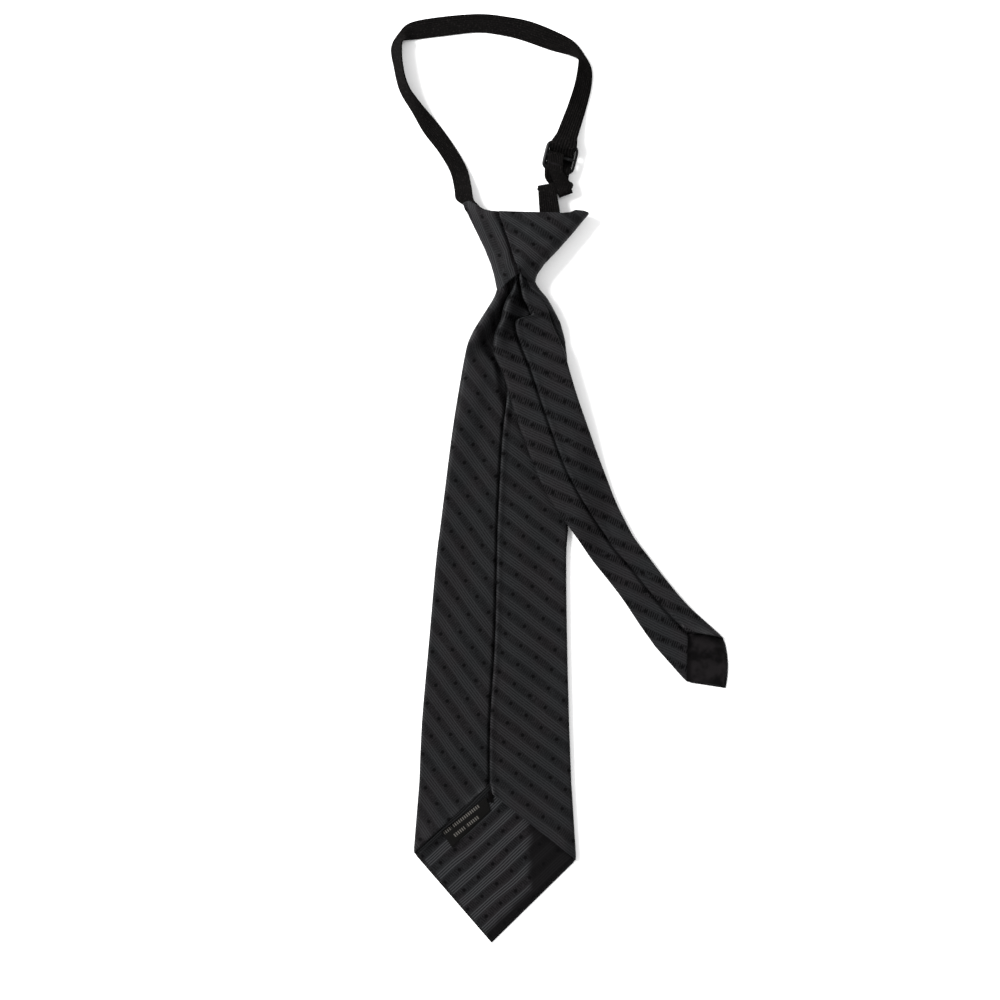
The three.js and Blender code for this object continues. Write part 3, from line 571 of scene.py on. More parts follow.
def blade_section(width, left, right, middle, seam, roll, left_shelf, right_shelf, tip):
    """Cross-sections of a folded blade, one per row: from the inner flap's hidden edge round both rolled
    sides to the outer flap's free edge. The flaps' top is middle + (left - middle)(1 - smooth(c / roll)) and
    the same from the right, past a level shelf; each side is half an ellipse; the outer flap is lifted."""
    half = CLOTH / 2
    seam_at = seam * width
    lap = np.minimum(LAP, LAP_SHARE * width)
    left_rz, right_rz = (left - CLOTH) / 2, (right - CLOTH) / 2
    left_rx, right_rx = np.minimum(left_rz, SIDE_REACH), np.minimum(right_rz, SIDE_REACH)
    left_reach, right_reach = left_rx + half, right_rx + half
    room = width - right_reach - seam_at - lap
    slope = np.minimum(np.minimum(LAP_SLOPE, SLOPE_SHARE * width), room)

    def top(across):
        from_left = (left - middle) * (1 - smooth((across - left_reach - left_shelf) / roll))
        from_right = (right - middle) * (1 - smooth((width - across - right_reach - right_shelf) / roll))
        return middle + from_left + from_right

    def lift(across):
        over = (CLOTH + GAP) * (1 - smooth((across - seam_at - lap) / slope))
        rise = HEM_RISE * (1 - smooth((across - seam_at - HEM_ROLL) / HEM_WIDTH))
        return over + rise - HEM_DROP * (1 - smooth((across - seam_at) / HEM_ROLL))

    turns = np.linspace(0, np.pi, SIDE_POINTS)[None, 1:-1]
    to_tip, from_tip = np.linspace(0, tip, FRONT_POINTS), np.linspace(tip, 1, FRONT_POINTS)
    front_share = np.concatenate([to_tip, from_tip[1:]])[None, :]
    hidden = seam_at + lap
    groove_end = seam_at - np.minimum(GROOVE_WIDTH, 0.4 * (seam_at - left_reach))
    hem_reach = np.minimum(HEM_REACH, 0.45 * (width - right_reach - seam_at))
    inner = np.hstack([
        hidden - EDGE_STEP * np.arange(3)[None, :],
        mix(hidden - 4 * EDGE_STEP, seam_at, np.linspace(0, 1, LAP_POINTS)[None, :-1]),
        mix(seam_at, groove_end, np.linspace(0, 1, GROOVE_POINTS)[None, :-1]),
        mix(groove_end, left_reach, np.linspace(0, 1, INNER_POINTS)[None, :]),
    ])
    outer = np.hstack([
        mix(width - right_reach, seam_at + hem_reach, np.linspace(0, 1, OUTER_POINTS)[None, :-1]),
        mix(seam_at + 3 * EDGE_STEP, seam_at + hem_reach, HEM_SHARES),
        seam_at + EDGE_STEP * np.arange(3)[None, ::-1],
    ])
    front = mix(left_reach, width - right_reach, front_share)
    across = np.hstack([
        inner,
        left_reach - left_rx * np.sin(turns),
        front,
        width - right_reach + right_rx * np.sin(turns),
        outer,
    ])
    height = np.hstack([
        top(inner) - half,
        left / 2 + left_rz * np.cos(turns),
        np.full(front.shape, half),
        right / 2 - right_rz * np.cos(turns),
        top(outer) + lift(outer) - half,
    ])
    room_below = np.clip(middle - 2 * CLOTH - 0.1, 0, GROOVE_DEPTH)
    height[:, : inner.shape[1]] -= room_below * groove(seam_at - inner)
    counts = [inner.shape[1], turns.shape[1], front.shape[1], turns.shape[1], outer.shape[1]]
    frontness = np.concatenate([
        np.zeros(counts[0]), turns[0] / np.pi, np.ones(counts[2]), 1 - turns[0] / np.pi, np.zeros(counts[4]),
    ])
    tip_column = counts[0] + counts[1] + FRONT_POINTS - 1
    return across, height, frontness, tip_column, counts, seam_at


def groove(ahead):
    """How much of the groove's depth a flap sinks at a distance ahead of the free edge that lies on it."""
    return 1 - smooth(ahead / GROOVE_WIDTH)


def hem_thickness(across, seam_at, counts):
    """Shares of the cloth's thickness: more along the outer flap's free edge, where it is folded under."""
    share = np.ones_like(across)
    outer = across[:, -counts[-1]:]
    share[:, -counts[-1]:] += HEM_FULLNESS * (1 - smooth((outer - seam_at) / HEM_WIDTH))
    return share


def sideways(line):
    """Unit vectors square to a line of points given as rows of (across, height)."""
    step = np.gradient(line, axis=1)
    length = np.linalg.norm(step, axis=2, keepdims=True)
    return np.stack([step[..., 1], -step[..., 0]], -1) / np.maximum(length, 1e-9)


def blade(name, table, steps, tip, end, end_steps, stripes, rest_at, shaped):
    """A blade folded from one cloth to a flat hollow envelope that stays open at its point. Sections along
    the blade, then each point goes straight on to its place on the flaps' edges or the slanting front."""
    rows = curved_rows(table, steps)
    lx, ly, rx, ry, rest, *heights = (rows[:, k : k + 1] for k in range(rows.shape[1]))
    width = np.hypot(rx - lx, ry - ly)
    across, height, frontness, tip_column, counts, seam_at = blade_section(width, *heights, tip)
    half = hem_thickness(across, seam_at, counts) * rounded(across.shape[1])[None, :] * CLOTH / 2
    normal = sideways(np.stack([across, height], -1)) * half[..., None]
    unit_x, unit_y = (rx - lx) / width, (ry - ly) / width

    def place(side):
        """The face or the back of the cloth, half its thickness off the section's middle line."""
        c = across + side * normal[..., 0]
        x, y = lx + unit_x * c, ly + unit_y * c
        z = rest_at(x, y, rest) + height + side * normal[..., 1]
        return np.stack([x, y, z + shaped(x, y, c, width, inner, frontness[None, :])], -1)

    inner = (np.arange(across.shape[1]) < counts[0] + counts[1])[None, :]
    face, back = place(1), place(-1)
    is_left = np.arange(across.shape[1]) <= tip_column
    c, w, s = across[-1], width[-1, 0], seam_at[-1, 0]
    unit = np.array([unit_x[-1, 0], unit_y[-1, 0]])
    inward = np.where(is_left, c, w - c)
    reach = np.where(is_left, s, w - s)
    corner = np.where(is_left[:, None], end["left"], end["right"])
    beyond = np.maximum(0, inward - reach) * np.where(is_left, 1, -1)
    is_outer = np.arange(len(c)) >= sum(counts[:3])
    seam_end = np.where(is_outer[:, None], end["outer seam"], end["inner seam"])
    flap = mix(corner, seam_end, np.minimum(1, inward / reach)[:, None]) + unit * beyond[:, None]
    front_share = np.minimum(1, inward / np.where(is_left, tip * w, (1 - tip) * w))
    front_share[tip_column] = 1
    front = mix(corner, np.array(end["tip"]), front_share[:, None])
    side_x, side_y = np.array(end["tip"]) - np.array(end["right"])
    outward = np.array([-side_y, side_x]) / np.hypot(side_x, side_y)
    front = front + outward * (4 * end["bow"] * front_share * (1 - front_share) * ~is_left)[:, None]
    target = mix(flap, front, frontness[:, None])
    start = np.stack([lx[-1] + unit[0] * c, ly[-1] + unit[1] * c], -1)
    share = (np.arange(1, end_steps + 1) / end_steps)[:, None, None]
    gape = np.where(is_outer, end["gape"][1], end["gape"][0]) * (1 - frontness) * smooth(inward / GAPE_REACH)
    move = np.concatenate([(target - start)[None] * share, gape[None, :, None] * share**2], -1)
    thick = np.ones((end_steps, 1, 1))
    thick[-len(EDGE_SHARES):, 0, 0] = EDGE_SHARES[::-1]
    middle_line = (face[-1] + back[-1]) / 2
    offset = (face[-1] - back[-1]) / 2
    face = np.concatenate([face, middle_line + offset * thick + move])
    back = np.concatenate([back, middle_line - offset * thick + move])

    run = np.hypot(np.diff(across, axis=1), np.diff(height, axis=1))
    length = np.hstack([np.zeros((len(run), 1)), np.cumsum(run, axis=1)])
    from_left = across[:, :1] - length
    from_right = across[:, -1:] + length[:, -1:] - length
    centre = (face + back)[..., :2] / 2
    units = np.stack([unit_x, unit_y], -1)

    def laid(unrolled):
        shift = np.concatenate([unrolled - across, np.repeat((unrolled - across)[-1:], end_steps, 0)])
        turn = np.concatenate([units, np.repeat(units[-1:], end_steps, 0)])
        return centre + shift[..., None] * turn

    maps = [
        turned(laid(from_left), stripes["left"]),
        turned(centre, stripes["front"]),
        turned(laid(from_right), stripes["right"]),
    ]
    regions = np.repeat([0, 0, 1, 2, 2], counts)[:-1]
    return sheet_object(name, face, back, maps, regions)


def ribbon(name, edges):
    """A ribbed strap: across each row from its near to its far edge, with a surface raised by a cosine for
    each rib and turned over at both edges."""
    near, far = edges[:, :3], edges[:, 3:]
    share = np.concatenate([[0, 0.006, 0.016], np.linspace(0.03, 0.97, RIBBON_POINTS - 6), [0.984, 0.994, 1]])
    line = mix(near[:, None], far[:, None], share[None, :, None])
    middle = line.mean(1)
    along = np.gradient(middle, axis=0)
    normal = np.cross(along, far - near)
    normal /= np.linalg.norm(normal, axis=1, keepdims=True)
    relief = RIB_DEPTH * (np.cos(2 * np.pi * RIB_COUNT * share) - 1)
    half = (STRAP / 2 + relief) * rounded(len(share))
    offset = normal[:, None] * half[None, :, None]
    run = np.concatenate([[0], np.cumsum(np.linalg.norm(np.diff(middle, axis=0), axis=1))])
    width = np.linalg.norm(far - near, axis=1).mean()
    cloth_map = np.stack(np.broadcast_arrays(share[None, :] * width, run[:, None]), -1)
    regions = np.zeros(len(share) - 1, int)
    return sheet_object(name, line + offset, line - offset, [cloth_map], regions)


def tube(name, path, radius, sides=20, closed=False):
    """A circle carried along a level path: centre + r (cos a * side + sin a * up). An open end is domed."""
    path = np.asarray(path, float)
    size = np.ones(len(path))
    along = np.roll(path, -1, 0) - np.roll(path, 1, 0) if closed else np.gradient(path, axis=0)
    along /= np.linalg.norm(along, axis=1, keepdims=True)
    if not closed:
        dome = np.linspace(0, np.pi / 2, DOME_RINGS + 1)[1:] * DOME_SHARE
        head = path[0] - along[0] * radius * np.sin(dome)[::-1, None]
        tail = path[-1] + along[-1] * radius * np.sin(dome)[:, None]
        path = np.concatenate([head, path, tail])
        along = np.concatenate([along[:1].repeat(DOME_RINGS, 0), along, along[-1:].repeat(DOME_RINGS, 0)])
        size = np.concatenate([np.cos(dome)[::-1], size, np.cos(dome)])
    angle = np.linspace(0, 2 * np.pi, sides, endpoint=False)
    up = np.array([0.0, 0.0, 1.0])
    side = np.cross(along, up)
    ring = np.cos(angle)[None, :, None] * side[:, None] + np.sin(angle)[None, :, None] * up
    points = (path[:, None] + ring * (radius * size)[:, None, None]).reshape(-1, 3)
    at = np.arange(len(points)).reshape(len(path), sides)
    nearby = np.roll(at, -1, 1)
    if closed:
        following, across = np.roll(at, -1, 0), np.roll(nearby, -1, 0)
        quads = np.stack([at, nearby, across, following], -1).reshape(-1, 4)
        return mesh_object(name, points, quads)
    quads = np.stack([at[:-1], nearby[:-1], nearby[1:], at[1:]], -1).reshape(-1, 4)
    return mesh_object(name, points, quads, caps=[at[0], at[-1][::-1]])


class Graph:
    """The node tree of one material, with a short call for each kind of node."""

    def __init__(self, name):
        self.material = bpy.data.materials.new(name)
        self.material.use_nodes = True
        self.tree = self.material.node_tree
        self.shader = self.tree.nodes["Principled BSDF"]

    def node(self, kind, **settings):
        made = self.tree.nodes.new(kind)
        for key, value in settings.items():
            setattr(made, key, value)
        return made

    def feed(self, socket, value):
        if isinstance(value, bpy.types.NodeSocket):
            self.tree.links.new(value, socket)
        else:
            socket.default_value = value

    def set(self, **values):
        for key, value in values.items():
            self.feed(self.shader.inputs[key.replace("_", " ")], value)

    def math(self, operation, first, second=0.0):
        made = self.node("ShaderNodeMath", operation=operation)
        self.feed(made.inputs[0], first)
        self.feed(made.inputs[1], second)
        return made.outputs[0]

    def plus(self, first, second):
        return self.math("ADD", first, second)

    def minus(self, first, second):
        return self.math("SUBTRACT", first, second)

    def times(self, first, second):
        return self.math("MULTIPLY", first, second)

    def wave(self, value, pitch):
        """A sine of one period to the pitch."""
        return self.math("SINE", self.times(value, 2 * np.pi / pitch))

    def phase(self, value, pitch):
        """How far a value is through its pitch, from 0 to 1."""
        return self.math("FRACT", self.math("DIVIDE", value, pitch))

    def ramp(self, value, low, high, start=0.0, end=1.0):
        made = self.node("ShaderNodeMapRange", interpolation_type="SMOOTHSTEP")
        for socket, entry in zip(made.inputs, (value, low, high, start, end)):
            self.feed(socket, entry)
        return made.outputs[0]

    def band(self, value, low, high, soft):
        """1 between low and high, falling to 0 over a soft width outside."""
        rise = self.ramp(value, low - soft, low)
        fall = self.ramp(value, high, high + soft, 1.0, 0.0)
        return self.math("MULTIPLY", rise, fall)

    def colour(self, share, first, second):
        made = self.node("ShaderNodeMix", data_type="RGBA")
        self.feed(made.inputs[0], share)
        for socket, entry in ((made.inputs[6], first), (made.inputs[7], second)):
            self.feed(socket, entry if isinstance(entry, bpy.types.NodeSocket) else (*entry, 1.0))
        return made.outputs[2]

    def noise(self, vector, scale, detail):
        made = self.node("ShaderNodeTexNoise")
        self.feed(made.inputs["Vector"], vector)
        self.feed(made.inputs["Scale"], scale)
        self.feed(made.inputs["Detail"], detail)
        return made.outputs[0]

    def cloth_place(self):
        """The piece's own cloth coordinates in millimetres, whole and as two numbers."""
        place = self.node("ShaderNodeUVMap", uv_map="weave").outputs[0]
        parts = self.node("ShaderNodeSeparateXYZ")
        self.feed(parts.inputs[0], place)
        return place, parts.outputs[0], parts.outputs[1]

    def object_place(self):
        return self.node("ShaderNodeTexCoord").outputs["Object"]

    def bump(self, height, distance, strength):
        made = self.node("ShaderNodeBump")
        self.feed(made.inputs["Height"], height)
        self.feed(made.inputs["Distance"], distance)
        self.feed(made.inputs["Strength"], strength)
        self.feed(self.shader.inputs["Normal"], made.outputs[0])


def scaled(factor, colour):
    return tuple(factor * value for value in colour)


def jacquard(name, cloth, stroke_share, line_share, shade, painted_corner_shade):
    """The tie's cloth: bands of short oblique strokes that hold a row of dots, then fine light lines, then
    plain satin. u runs along the stripes and v across them, both in millimetres. The shade darkens the whole
    copy of the cloth as painted shade. Where painted corner shade is asked for, at the facing's right side
    and lower hem, the pattern fades into a darker ground, which is painted shade too."""
    # Painted shade: the whole copy of the cloth is darkened by its shade share.
    cool, warm, light = (scaled(shade, tone) for tone in (cloth.cool, cloth.warm, cloth.line))
    graph = Graph(name)
    repeat, dot_pitch = cloth.repeat / MM, cloth.dot_pitch / MM
    place, u, v = graph.cloth_place()
    drift = graph.noise(place, 0.035, 1.0)
    v = graph.plus(v, graph.times(drift, STRIPE_DRIFT))
    row = graph.math("DIVIDE", v, repeat)
    index = graph.math("FLOOR", row)
    inside = graph.minus(row, index)

    slant = graph.plus(u, graph.times(v, STROKE_SLANT))
    stroke_wave = graph.phase(slant, cloth.stroke_pitch / MM)
    stroke_shape = graph.math("ABSOLUTE", graph.minus(stroke_wave, 0.5))
    broken = graph.ramp(graph.noise(place, 0.42, 1.0), 0.30, 0.48)
    strokes = graph.times(graph.ramp(stroke_shape, 0.20, 0.34, 1.0, 0.0), broken)
    strokes = graph.times(strokes, graph.band(inside, *STROKE_BAND, 0.03))

    shifted = graph.plus(u, graph.times(index, DOT_SHIFT))
    dot_wave = graph.phase(shifted, dot_pitch)
    dot_u = graph.times(graph.minus(dot_wave, 0.5), dot_pitch)
    dot_v = graph.times(graph.minus(inside, DOT_ROW), repeat)
    distance = graph.math("SQRT", graph.plus(graph.times(dot_u, dot_u), graph.times(dot_v, dot_v)))
    dots = graph.ramp(distance, DOT_RADIUS - 0.2, DOT_RADIUS + 0.2, 1.0, 0.0)

    line_wave = graph.phase(v, cloth.line_pitch / MM)
    line_shape = graph.math("ABSOLUTE", graph.minus(line_wave, 0.5))
    lines = graph.times(graph.ramp(line_shape, 0.12, 0.26, 1.0, 0.0), graph.band(inside, *LINE_BAND, 0.02))

    grain = graph.noise(place, 1.6, 1.0)
    ground = graph.colour(graph.ramp(graph.noise(place, 0.055, 1.0), 0.35, 0.65), cool, warm)
    ground = graph.colour(graph.ramp(grain, 0.35, 0.75, 0.0, 0.26), ground, light)
    ground = graph.colour(graph.times(lines, line_share), ground, light)
    dark = graph.math("MAXIMUM", graph.times(strokes, stroke_share), dots)
    # Painted shade: at the facing's right side and lower hem the ground and its light lines fade to a darker
    # colour.
    if painted_corner_shade:
        parts = graph.node("ShaderNodeSeparateXYZ")
        graph.feed(parts.inputs[0], graph.object_place())
        waver = graph.times(graph.noise(place, 0.12, 1.0), 0.004)
        x = graph.plus(parts.outputs[0], waver)
        out = graph.plus(graph.times(x, CORNER_SHADE_X), graph.times(parts.outputs[1], CORNER_SHADE_Y))
        corner_shade_mask = graph.math("MAXIMUM", graph.ramp(x, CORNER_SHADE_SIDE, CORNER_SHADE_SIDE + 0.005),
                         graph.ramp(out, CORNER_SHADE_HEM, CORNER_SHADE_HEM + 0.004))
        ground = graph.colour(graph.times(corner_shade_mask, 0.9), ground, scaled(0.3, warm))
    graph.set(
        Base_Color=graph.colour(dark, ground, cloth.stroke[:]),
        Roughness=graph.plus(0.42, graph.times(dark, 0.25)),
        Specular_IOR_Level=0.042,
        Sheen_Weight=0.012,
        Sheen_Roughness=0.35,
    )
    weave = graph.times(graph.wave(u, WEAVE_PITCH), graph.wave(v, WEAVE_PITCH))
    height = graph.plus(graph.times(weave, 0.25), graph.minus(lines, dark))
    graph.bump(height, 0.00005, 0.6)
    return graph.material


def ribbed_elastic(name, trim):
    """Black knitted elastic: rows of small knit loops along each rib, painted shade in the troughs between
    the ribs, and a little lint.
    """
    graph = Graph(name)
    place, u, v = graph.cloth_place()
    knit = graph.wave(v, KNIT_PITCH)
    rib = graph.math("COSINE", graph.times(u, 2 * np.pi / (trim.rib_pitch / MM)))
    lint = graph.ramp(graph.noise(place, 1.3, 3.0), 0.55, 0.72)
    worn = graph.ramp(graph.noise(place, 0.22, 1.0), 0.35, 0.65)
    pale = scaled(8.0, trim.elastic)
    # Painted shade: a darker colour for the troughs between the ribs.
    rib_trough_shade = scaled(0.3, trim.elastic)
    base = graph.colour(graph.ramp(rib, -0.8, 0.6), rib_trough_shade, trim.elastic[:])
    base = graph.colour(graph.plus(graph.times(lint, 0.55), graph.times(worn, 0.04)), base, pale)
    graph.set(
        Base_Color=base,
        Roughness=0.7,
        Specular_IOR_Level=0.024,
        Sheen_Weight=0.006,
        Sheen_Roughness=0.5,
    )
    graph.bump(graph.plus(knit, graph.times(rib, 0.5)), 0.00006, 0.7)
    return graph.material


def facing_satin(name, trim):
    """Plain black satin with a close twill, uneven roughness, and cloudy lighter patches of painted sheen."""
    graph = Graph(name)
    place = graph.object_place()
    cloudy = graph.noise(place, 130.0, 4.0)
    # Painted sheen: cloudy patches of a lighter colour.
    painted_sheen = scaled(4.6, trim.facing)
    twill = graph.node("ShaderNodeTexWave", wave_type="BANDS", bands_direction="DIAGONAL")
    graph.feed(twill.inputs["Vector"], place)
    graph.feed(twill.inputs["Scale"], 900.0)
    graph.set(
        Base_Color=graph.colour(graph.ramp(cloudy, 0.42, 0.66), trim.facing[:], painted_sheen),
        Roughness=graph.plus(0.34, graph.times(cloudy, 0.16)),
        Specular_IOR_Level=0.03,
    )
    graph.bump(twill.outputs[1], 0.00003, 0.4)
    return graph.material


def label_weave(name, trim):
    """Black woven label: a fine cross weave and two plain rows of pale dashes."""
    graph = Graph(name)
    _, u, v = graph.cloth_place()
    dash_wave = graph.phase(u, DASH_PITCH)
    dash = graph.band(dash_wave, 0.2, 0.62, 0.12)
    rows = 0.0
    for top, bottom, start, stop, space_start, space_stop in LABEL_ROWS:
        filled = graph.minus(graph.band(u, start, stop, 0.2), graph.band(u, space_start, space_stop, 0.2))
        rows = graph.math("MAXIMUM", rows, graph.times(graph.band(v, top, bottom, 0.15), filled))
    dashes = graph.times(dash, rows)
    threads = graph.wave(u, LABEL_PITCH)
    picked = graph.times(dashes, graph.ramp(threads, -0.9, 0.2, 0.45, 1.0))
    graph.set(
        Base_Color=graph.colour(picked, trim.label[:], trim.label_dash[:]),
        Roughness=0.6,
        Specular_IOR_Level=0.05,
    )
    cross = graph.times(threads, graph.wave(v, LABEL_PITCH))
    graph.bump(graph.plus(cross, graph.times(dashes, 2.0)), 0.00005, 0.6)
    return graph.material


def black_gloss(name, trim):
    """Glossy black enamel with faint waviness, and scattered duller, lighter worn spots."""
    graph = Graph(name)
    place = graph.object_place()
    wear = graph.noise(place, 600.0, 3.0)
    graph.set(
        Base_Color=graph.colour(graph.ramp(wear, 0.62, 0.8, 0.0, 0.4), trim.gloss[:], (0.03, 0.03, 0.031)),
        Roughness=graph.ramp(wear, 0.3, 0.8, 0.2, 0.34),
        Specular_IOR_Level=0.07,
    )
    graph.bump(graph.noise(place, 1400.0, 1.0), 0.00003, 0.25)
    return graph.material


def finished(obj, material, node):
    """Gives a piece its material and its place in the frame: on the root body, in place of its CAD node."""
    obj.data.materials.append(material)
    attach(obj, "root")
    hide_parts(node)
    return obj


def material_of(name, maker, settings, *shares):
    """The material of one name, made on first use."""
    return bpy.data.materials.get(name) or maker(name, settings, *shares)


def cloth_material(context, name):
    """The jacquard of one name in the table of cloths."""
    return material_of(name, jacquard, context.scene.necktie_cloth, *CLOTHS[name])


def ripples(x, y, waves):
    """A sum of sines: height times sin(x / wave length across + y / wave length along + phase)."""
    return sum(
        height * np.sin(2 * np.pi * (x / across + y / along) + phase)
        for height, across, along, phase in waves
    )


def table_at(table, y):
    """A table's columns at the given y, straight between its rows. The first column falls from row to row."""
    rows = np.asarray(table, float)[::-1]
    return [np.interp(y, rows[:, 0], rows[:, k]) for k in range(1, rows.shape[1])]


def wide_shape(x, y, across, width, inner, frontness):
    """Soft waves, and the swell of the table: height times (1 - smooth(share from level to fallen))."""
    level, fallen, height = table_at(WIDE_SWELL, y)
    swell = height * (1 - smooth((x - level) / (fallen - level))) * smooth(across / 12)
    inside = smooth(across / 10) * smooth((width - across) / 10)
    return (swell + ripples(x, y, WIDE_WAVES) * inside * smooth((60 - y) / 30)) * (1 - frontness)


def tail_shape(x, y, across, width, inner, frontness):
    """Soft waves, and the fold of the table in the inner flap: depth times smooth(share from left to deepest)
    times smooth(share from right to deepest). The front sags beneath it as far as there is room."""
    left, deepest, right, depth = table_at(TAIL_FOLD, y)
    fold = depth * smooth((x - left) / (deepest - left)) * smooth(2.5 * (right - x) / (right - deepest))
    inside = smooth(across / 6) * smooth((width - across) / 6)
    flaps = ripples(x, y, TAIL_WAVES) * inside - fold * inner
    return flaps * (1 - frontness) - np.minimum(0.4 * fold, FRONT_SAG) * frontness


def tail_rest(x, y, rest):
    """How high the tail's underside is: at its rest height over the wide blade, then down to the floor."""
    return rest * (1 - smooth((x - DRAPE_FROM) / DRAPE_LENGTH))


class NECKTIE_OT_wide_blade(bpy.types.Operator):
    """Add the wide blade, its facing and its label"""

    bl_idname = "necktie.wide_blade"
    bl_label = "Wide Blade"

    def execute(self, context):
        cloth = cloth_material(context, "charcoal_jacquard_blade")
        bold = cloth_material(context, "charcoal_jacquard_facing")
        obj = blade("wide_blade_cloth", WIDE_ROWS, steps=14, tip=WIDE_TIP_SHARE, end=WIDE_END, end_steps=30,
                    stripes=WIDE_STRIPES, rest_at=lambda x, y, rest: rest, shaped=wide_shape)
        finished(obj, cloth, "wide_blade")
        facing = flat_sheet("wide_tipping_cloth", WIDE_FACING, thickness=0.6, stripe=42.0, steps=50)
        finished(facing, bold, "wide_tipping")
        trim = context.scene.necktie_trim
        label = label_sheet()
        finished(label, material_of("black_label_weave", label_weave, trim), "label")
        return {"FINISHED"}


def flat_sheet(name, outline, thickness, stripe, steps, swell=0.0):
    """A thin sheet over an outline of corners: rings from the outline in to its middle, drawn on a grid of
    turn and share, with its edge turned over."""
    corners = np.asarray(outline, float)
    count = len(corners)
    t = np.linspace(0, count, count * steps, endpoint=False)
    index = t.astype(int)
    edge = mix(corners[index], corners[(index + 1) % count], (t - index)[:, None])
    centre = corners.mean(0)
    rings = np.linspace(0.97, 0.02, 24)
    share = np.concatenate([[1, 0.994, 0.985], rings])
    flat = mix(centre, edge[None], share[:, None, None])
    half = thickness / 2 * np.concatenate([[0.25, 0.75, 0.95], np.ones(len(rings))])
    wave = swell * np.sin(flat[..., 0] / 7.0) * np.cos(flat[..., 1] / 9.0) * (1 - share[:, None] ** 4)
    middle = FACING_BOTTOM + thickness / 2 + wave
    top = np.concatenate([flat, (middle + half[:, None])[..., None]], -1)
    under = np.concatenate([flat, (middle - half[:, None])[..., None]], -1)
    points = np.concatenate([top.reshape(-1, 3), under.reshape(-1, 3)])
    at = np.arange(len(points)).reshape(2, len(share), len(t))
    nearby = np.roll(at, -1, 2)
    upper = np.stack([at[0, :-1], nearby[0, :-1], nearby[0, 1:], at[0, 1:]], -1).reshape(-1, 4)
    lower = np.stack([at[1, :-1], at[1, 1:], nearby[1, 1:], nearby[1, :-1]], -1).reshape(-1, 4)
    wall = np.stack([at[0, 0], at[1, 0], nearby[1, 0], nearby[0, 0]], -1)
    quads = np.concatenate([upper, lower, wall])
    caps = [at[0, -1], at[1, -1][::-1]]
    return laid_object(name, points, quads, caps, turned(points[:, :2], stripe))


def laid_object(name, points, quads, caps, cloth_map):
    """mesh_object for faces of mixed sizes, with one cloth coordinate for each point."""
    obj = mesh_object(name, points, quads, caps)
    mesh = obj.data
    vertex = np.empty(len(mesh.loops), np.int32)
    mesh.loops.foreach_get("vertex_index", vertex)
    layer = mesh.uv_layers.new(name="weave")
    layer.data.foreach_set("uv", cloth_map[vertex].astype(np.float32).ravel())
    return obj


def label_sheet():
    """The label: a grid over its four corners, u along its long edge and v down from it, a little bowed."""
    a, b, c, d = (np.array(corner) for corner in LABEL)
    s = np.concatenate([[0, 0.006, 0.015], np.linspace(0.03, 0.97, 60), [0.985, 0.994, 1]])[:, None, None]
    t = np.concatenate([[0, 0.015, 0.035], np.linspace(0.06, 0.94, 22), [0.965, 0.985, 1]])[None, :, None]
    flat = mix(mix(a, b, s), mix(d, c, s), t)
    bow = 0.25 * np.sin(np.pi * s[..., 0]) * np.sin(np.pi * t[..., 0])
    half = 0.25 * rounded(s.shape[0])[:, None] * rounded(t.shape[1])[None, :]
    middle = LABEL_BOTTOM + 0.25 + bow
    face = np.concatenate([flat, (middle + half)[..., None]], -1)
    back = np.concatenate([flat, (middle - half)[..., None]], -1)
    edge_angle = np.degrees(np.arctan2(b[1] - a[1], b[0] - a[0]))
    cloth_map = turned(flat - a, edge_angle) * np.array([1.0, -1.0])
    regions = np.zeros(flat.shape[1] - 1, int)
    return sheet_object("label_patch", face, back, [cloth_map], regions)


class NECKTIE_OT_tail(bpy.types.Operator):
    """Add the narrow blade and its plain facing"""

    bl_idname = "necktie.tail"
    bl_label = "Tail"

    def execute(self, context):
        cloth = cloth_material(context, "charcoal_jacquard_tail")
        obj = blade("tail_cloth", TAIL_ROWS, steps=12, tip=TAIL_TIP_SHARE, end=TAIL_END, end_steps=16,
                    stripes=TAIL_STRIPES, rest_at=tail_rest, shaped=tail_shape)
        finished(obj, cloth, "narrow_blade")
        satin = material_of("black_facing_satin", facing_satin, context.scene.necktie_trim)
        facing = flat_sheet("tail_tipping_satin", TAIL_FACING, thickness=0.5, stripe=20.0, steps=30,
                            swell=0.15)
        finished(facing, satin, "narrow_tipping")
        return {"FINISHED"}


def knot_lower_edge(x, back_share):
    """The knot's lower edge: a notch cut up to the seam on the back, straight on the front."""
    is_left = x < NOTCH["x"]
    side_x = np.where(is_left, NOTCH["left"][0], NOTCH["right"][0])
    side_y = np.where(is_left, NOTCH["left"][1], NOTCH["right"][1])
    share = np.minimum(1, np.abs(x - NOTCH["x"]) / np.abs(side_x - NOTCH["x"]))
    return mix(KNOT_BOTTOM, mix(NOTCH["y"], side_y, share), back_share)


def knot_angle(x, centre, half_width, squareness):
    """The angle at which the section's superellipse stands over x."""
    share = np.clip((x - centre) / half_width, -1, 1)
    return np.arccos(np.sign(share) * np.abs(share) ** (squareness / 2))


def bulge(value, power):
    return np.sign(value) * np.abs(value) ** power


def knot_points(y, angle, growth):
    """centre + (half width + growth) cos^p(angle), base + half height + (half height + growth) sin^p(angle),
    with p = 2 / squareness."""
    left, right, base, height, squareness, _ = table_at(KNOT_ROWS, y)
    power = 2 / squareness
    x = (left + right) / 2 + ((right - left) / 2 + growth) * bulge(np.cos(angle), power)
    z = base + height / 2 + (height / 2 + growth) * bulge(np.sin(angle), power)
    return np.stack(np.broadcast_arrays(x, y, z), -1)


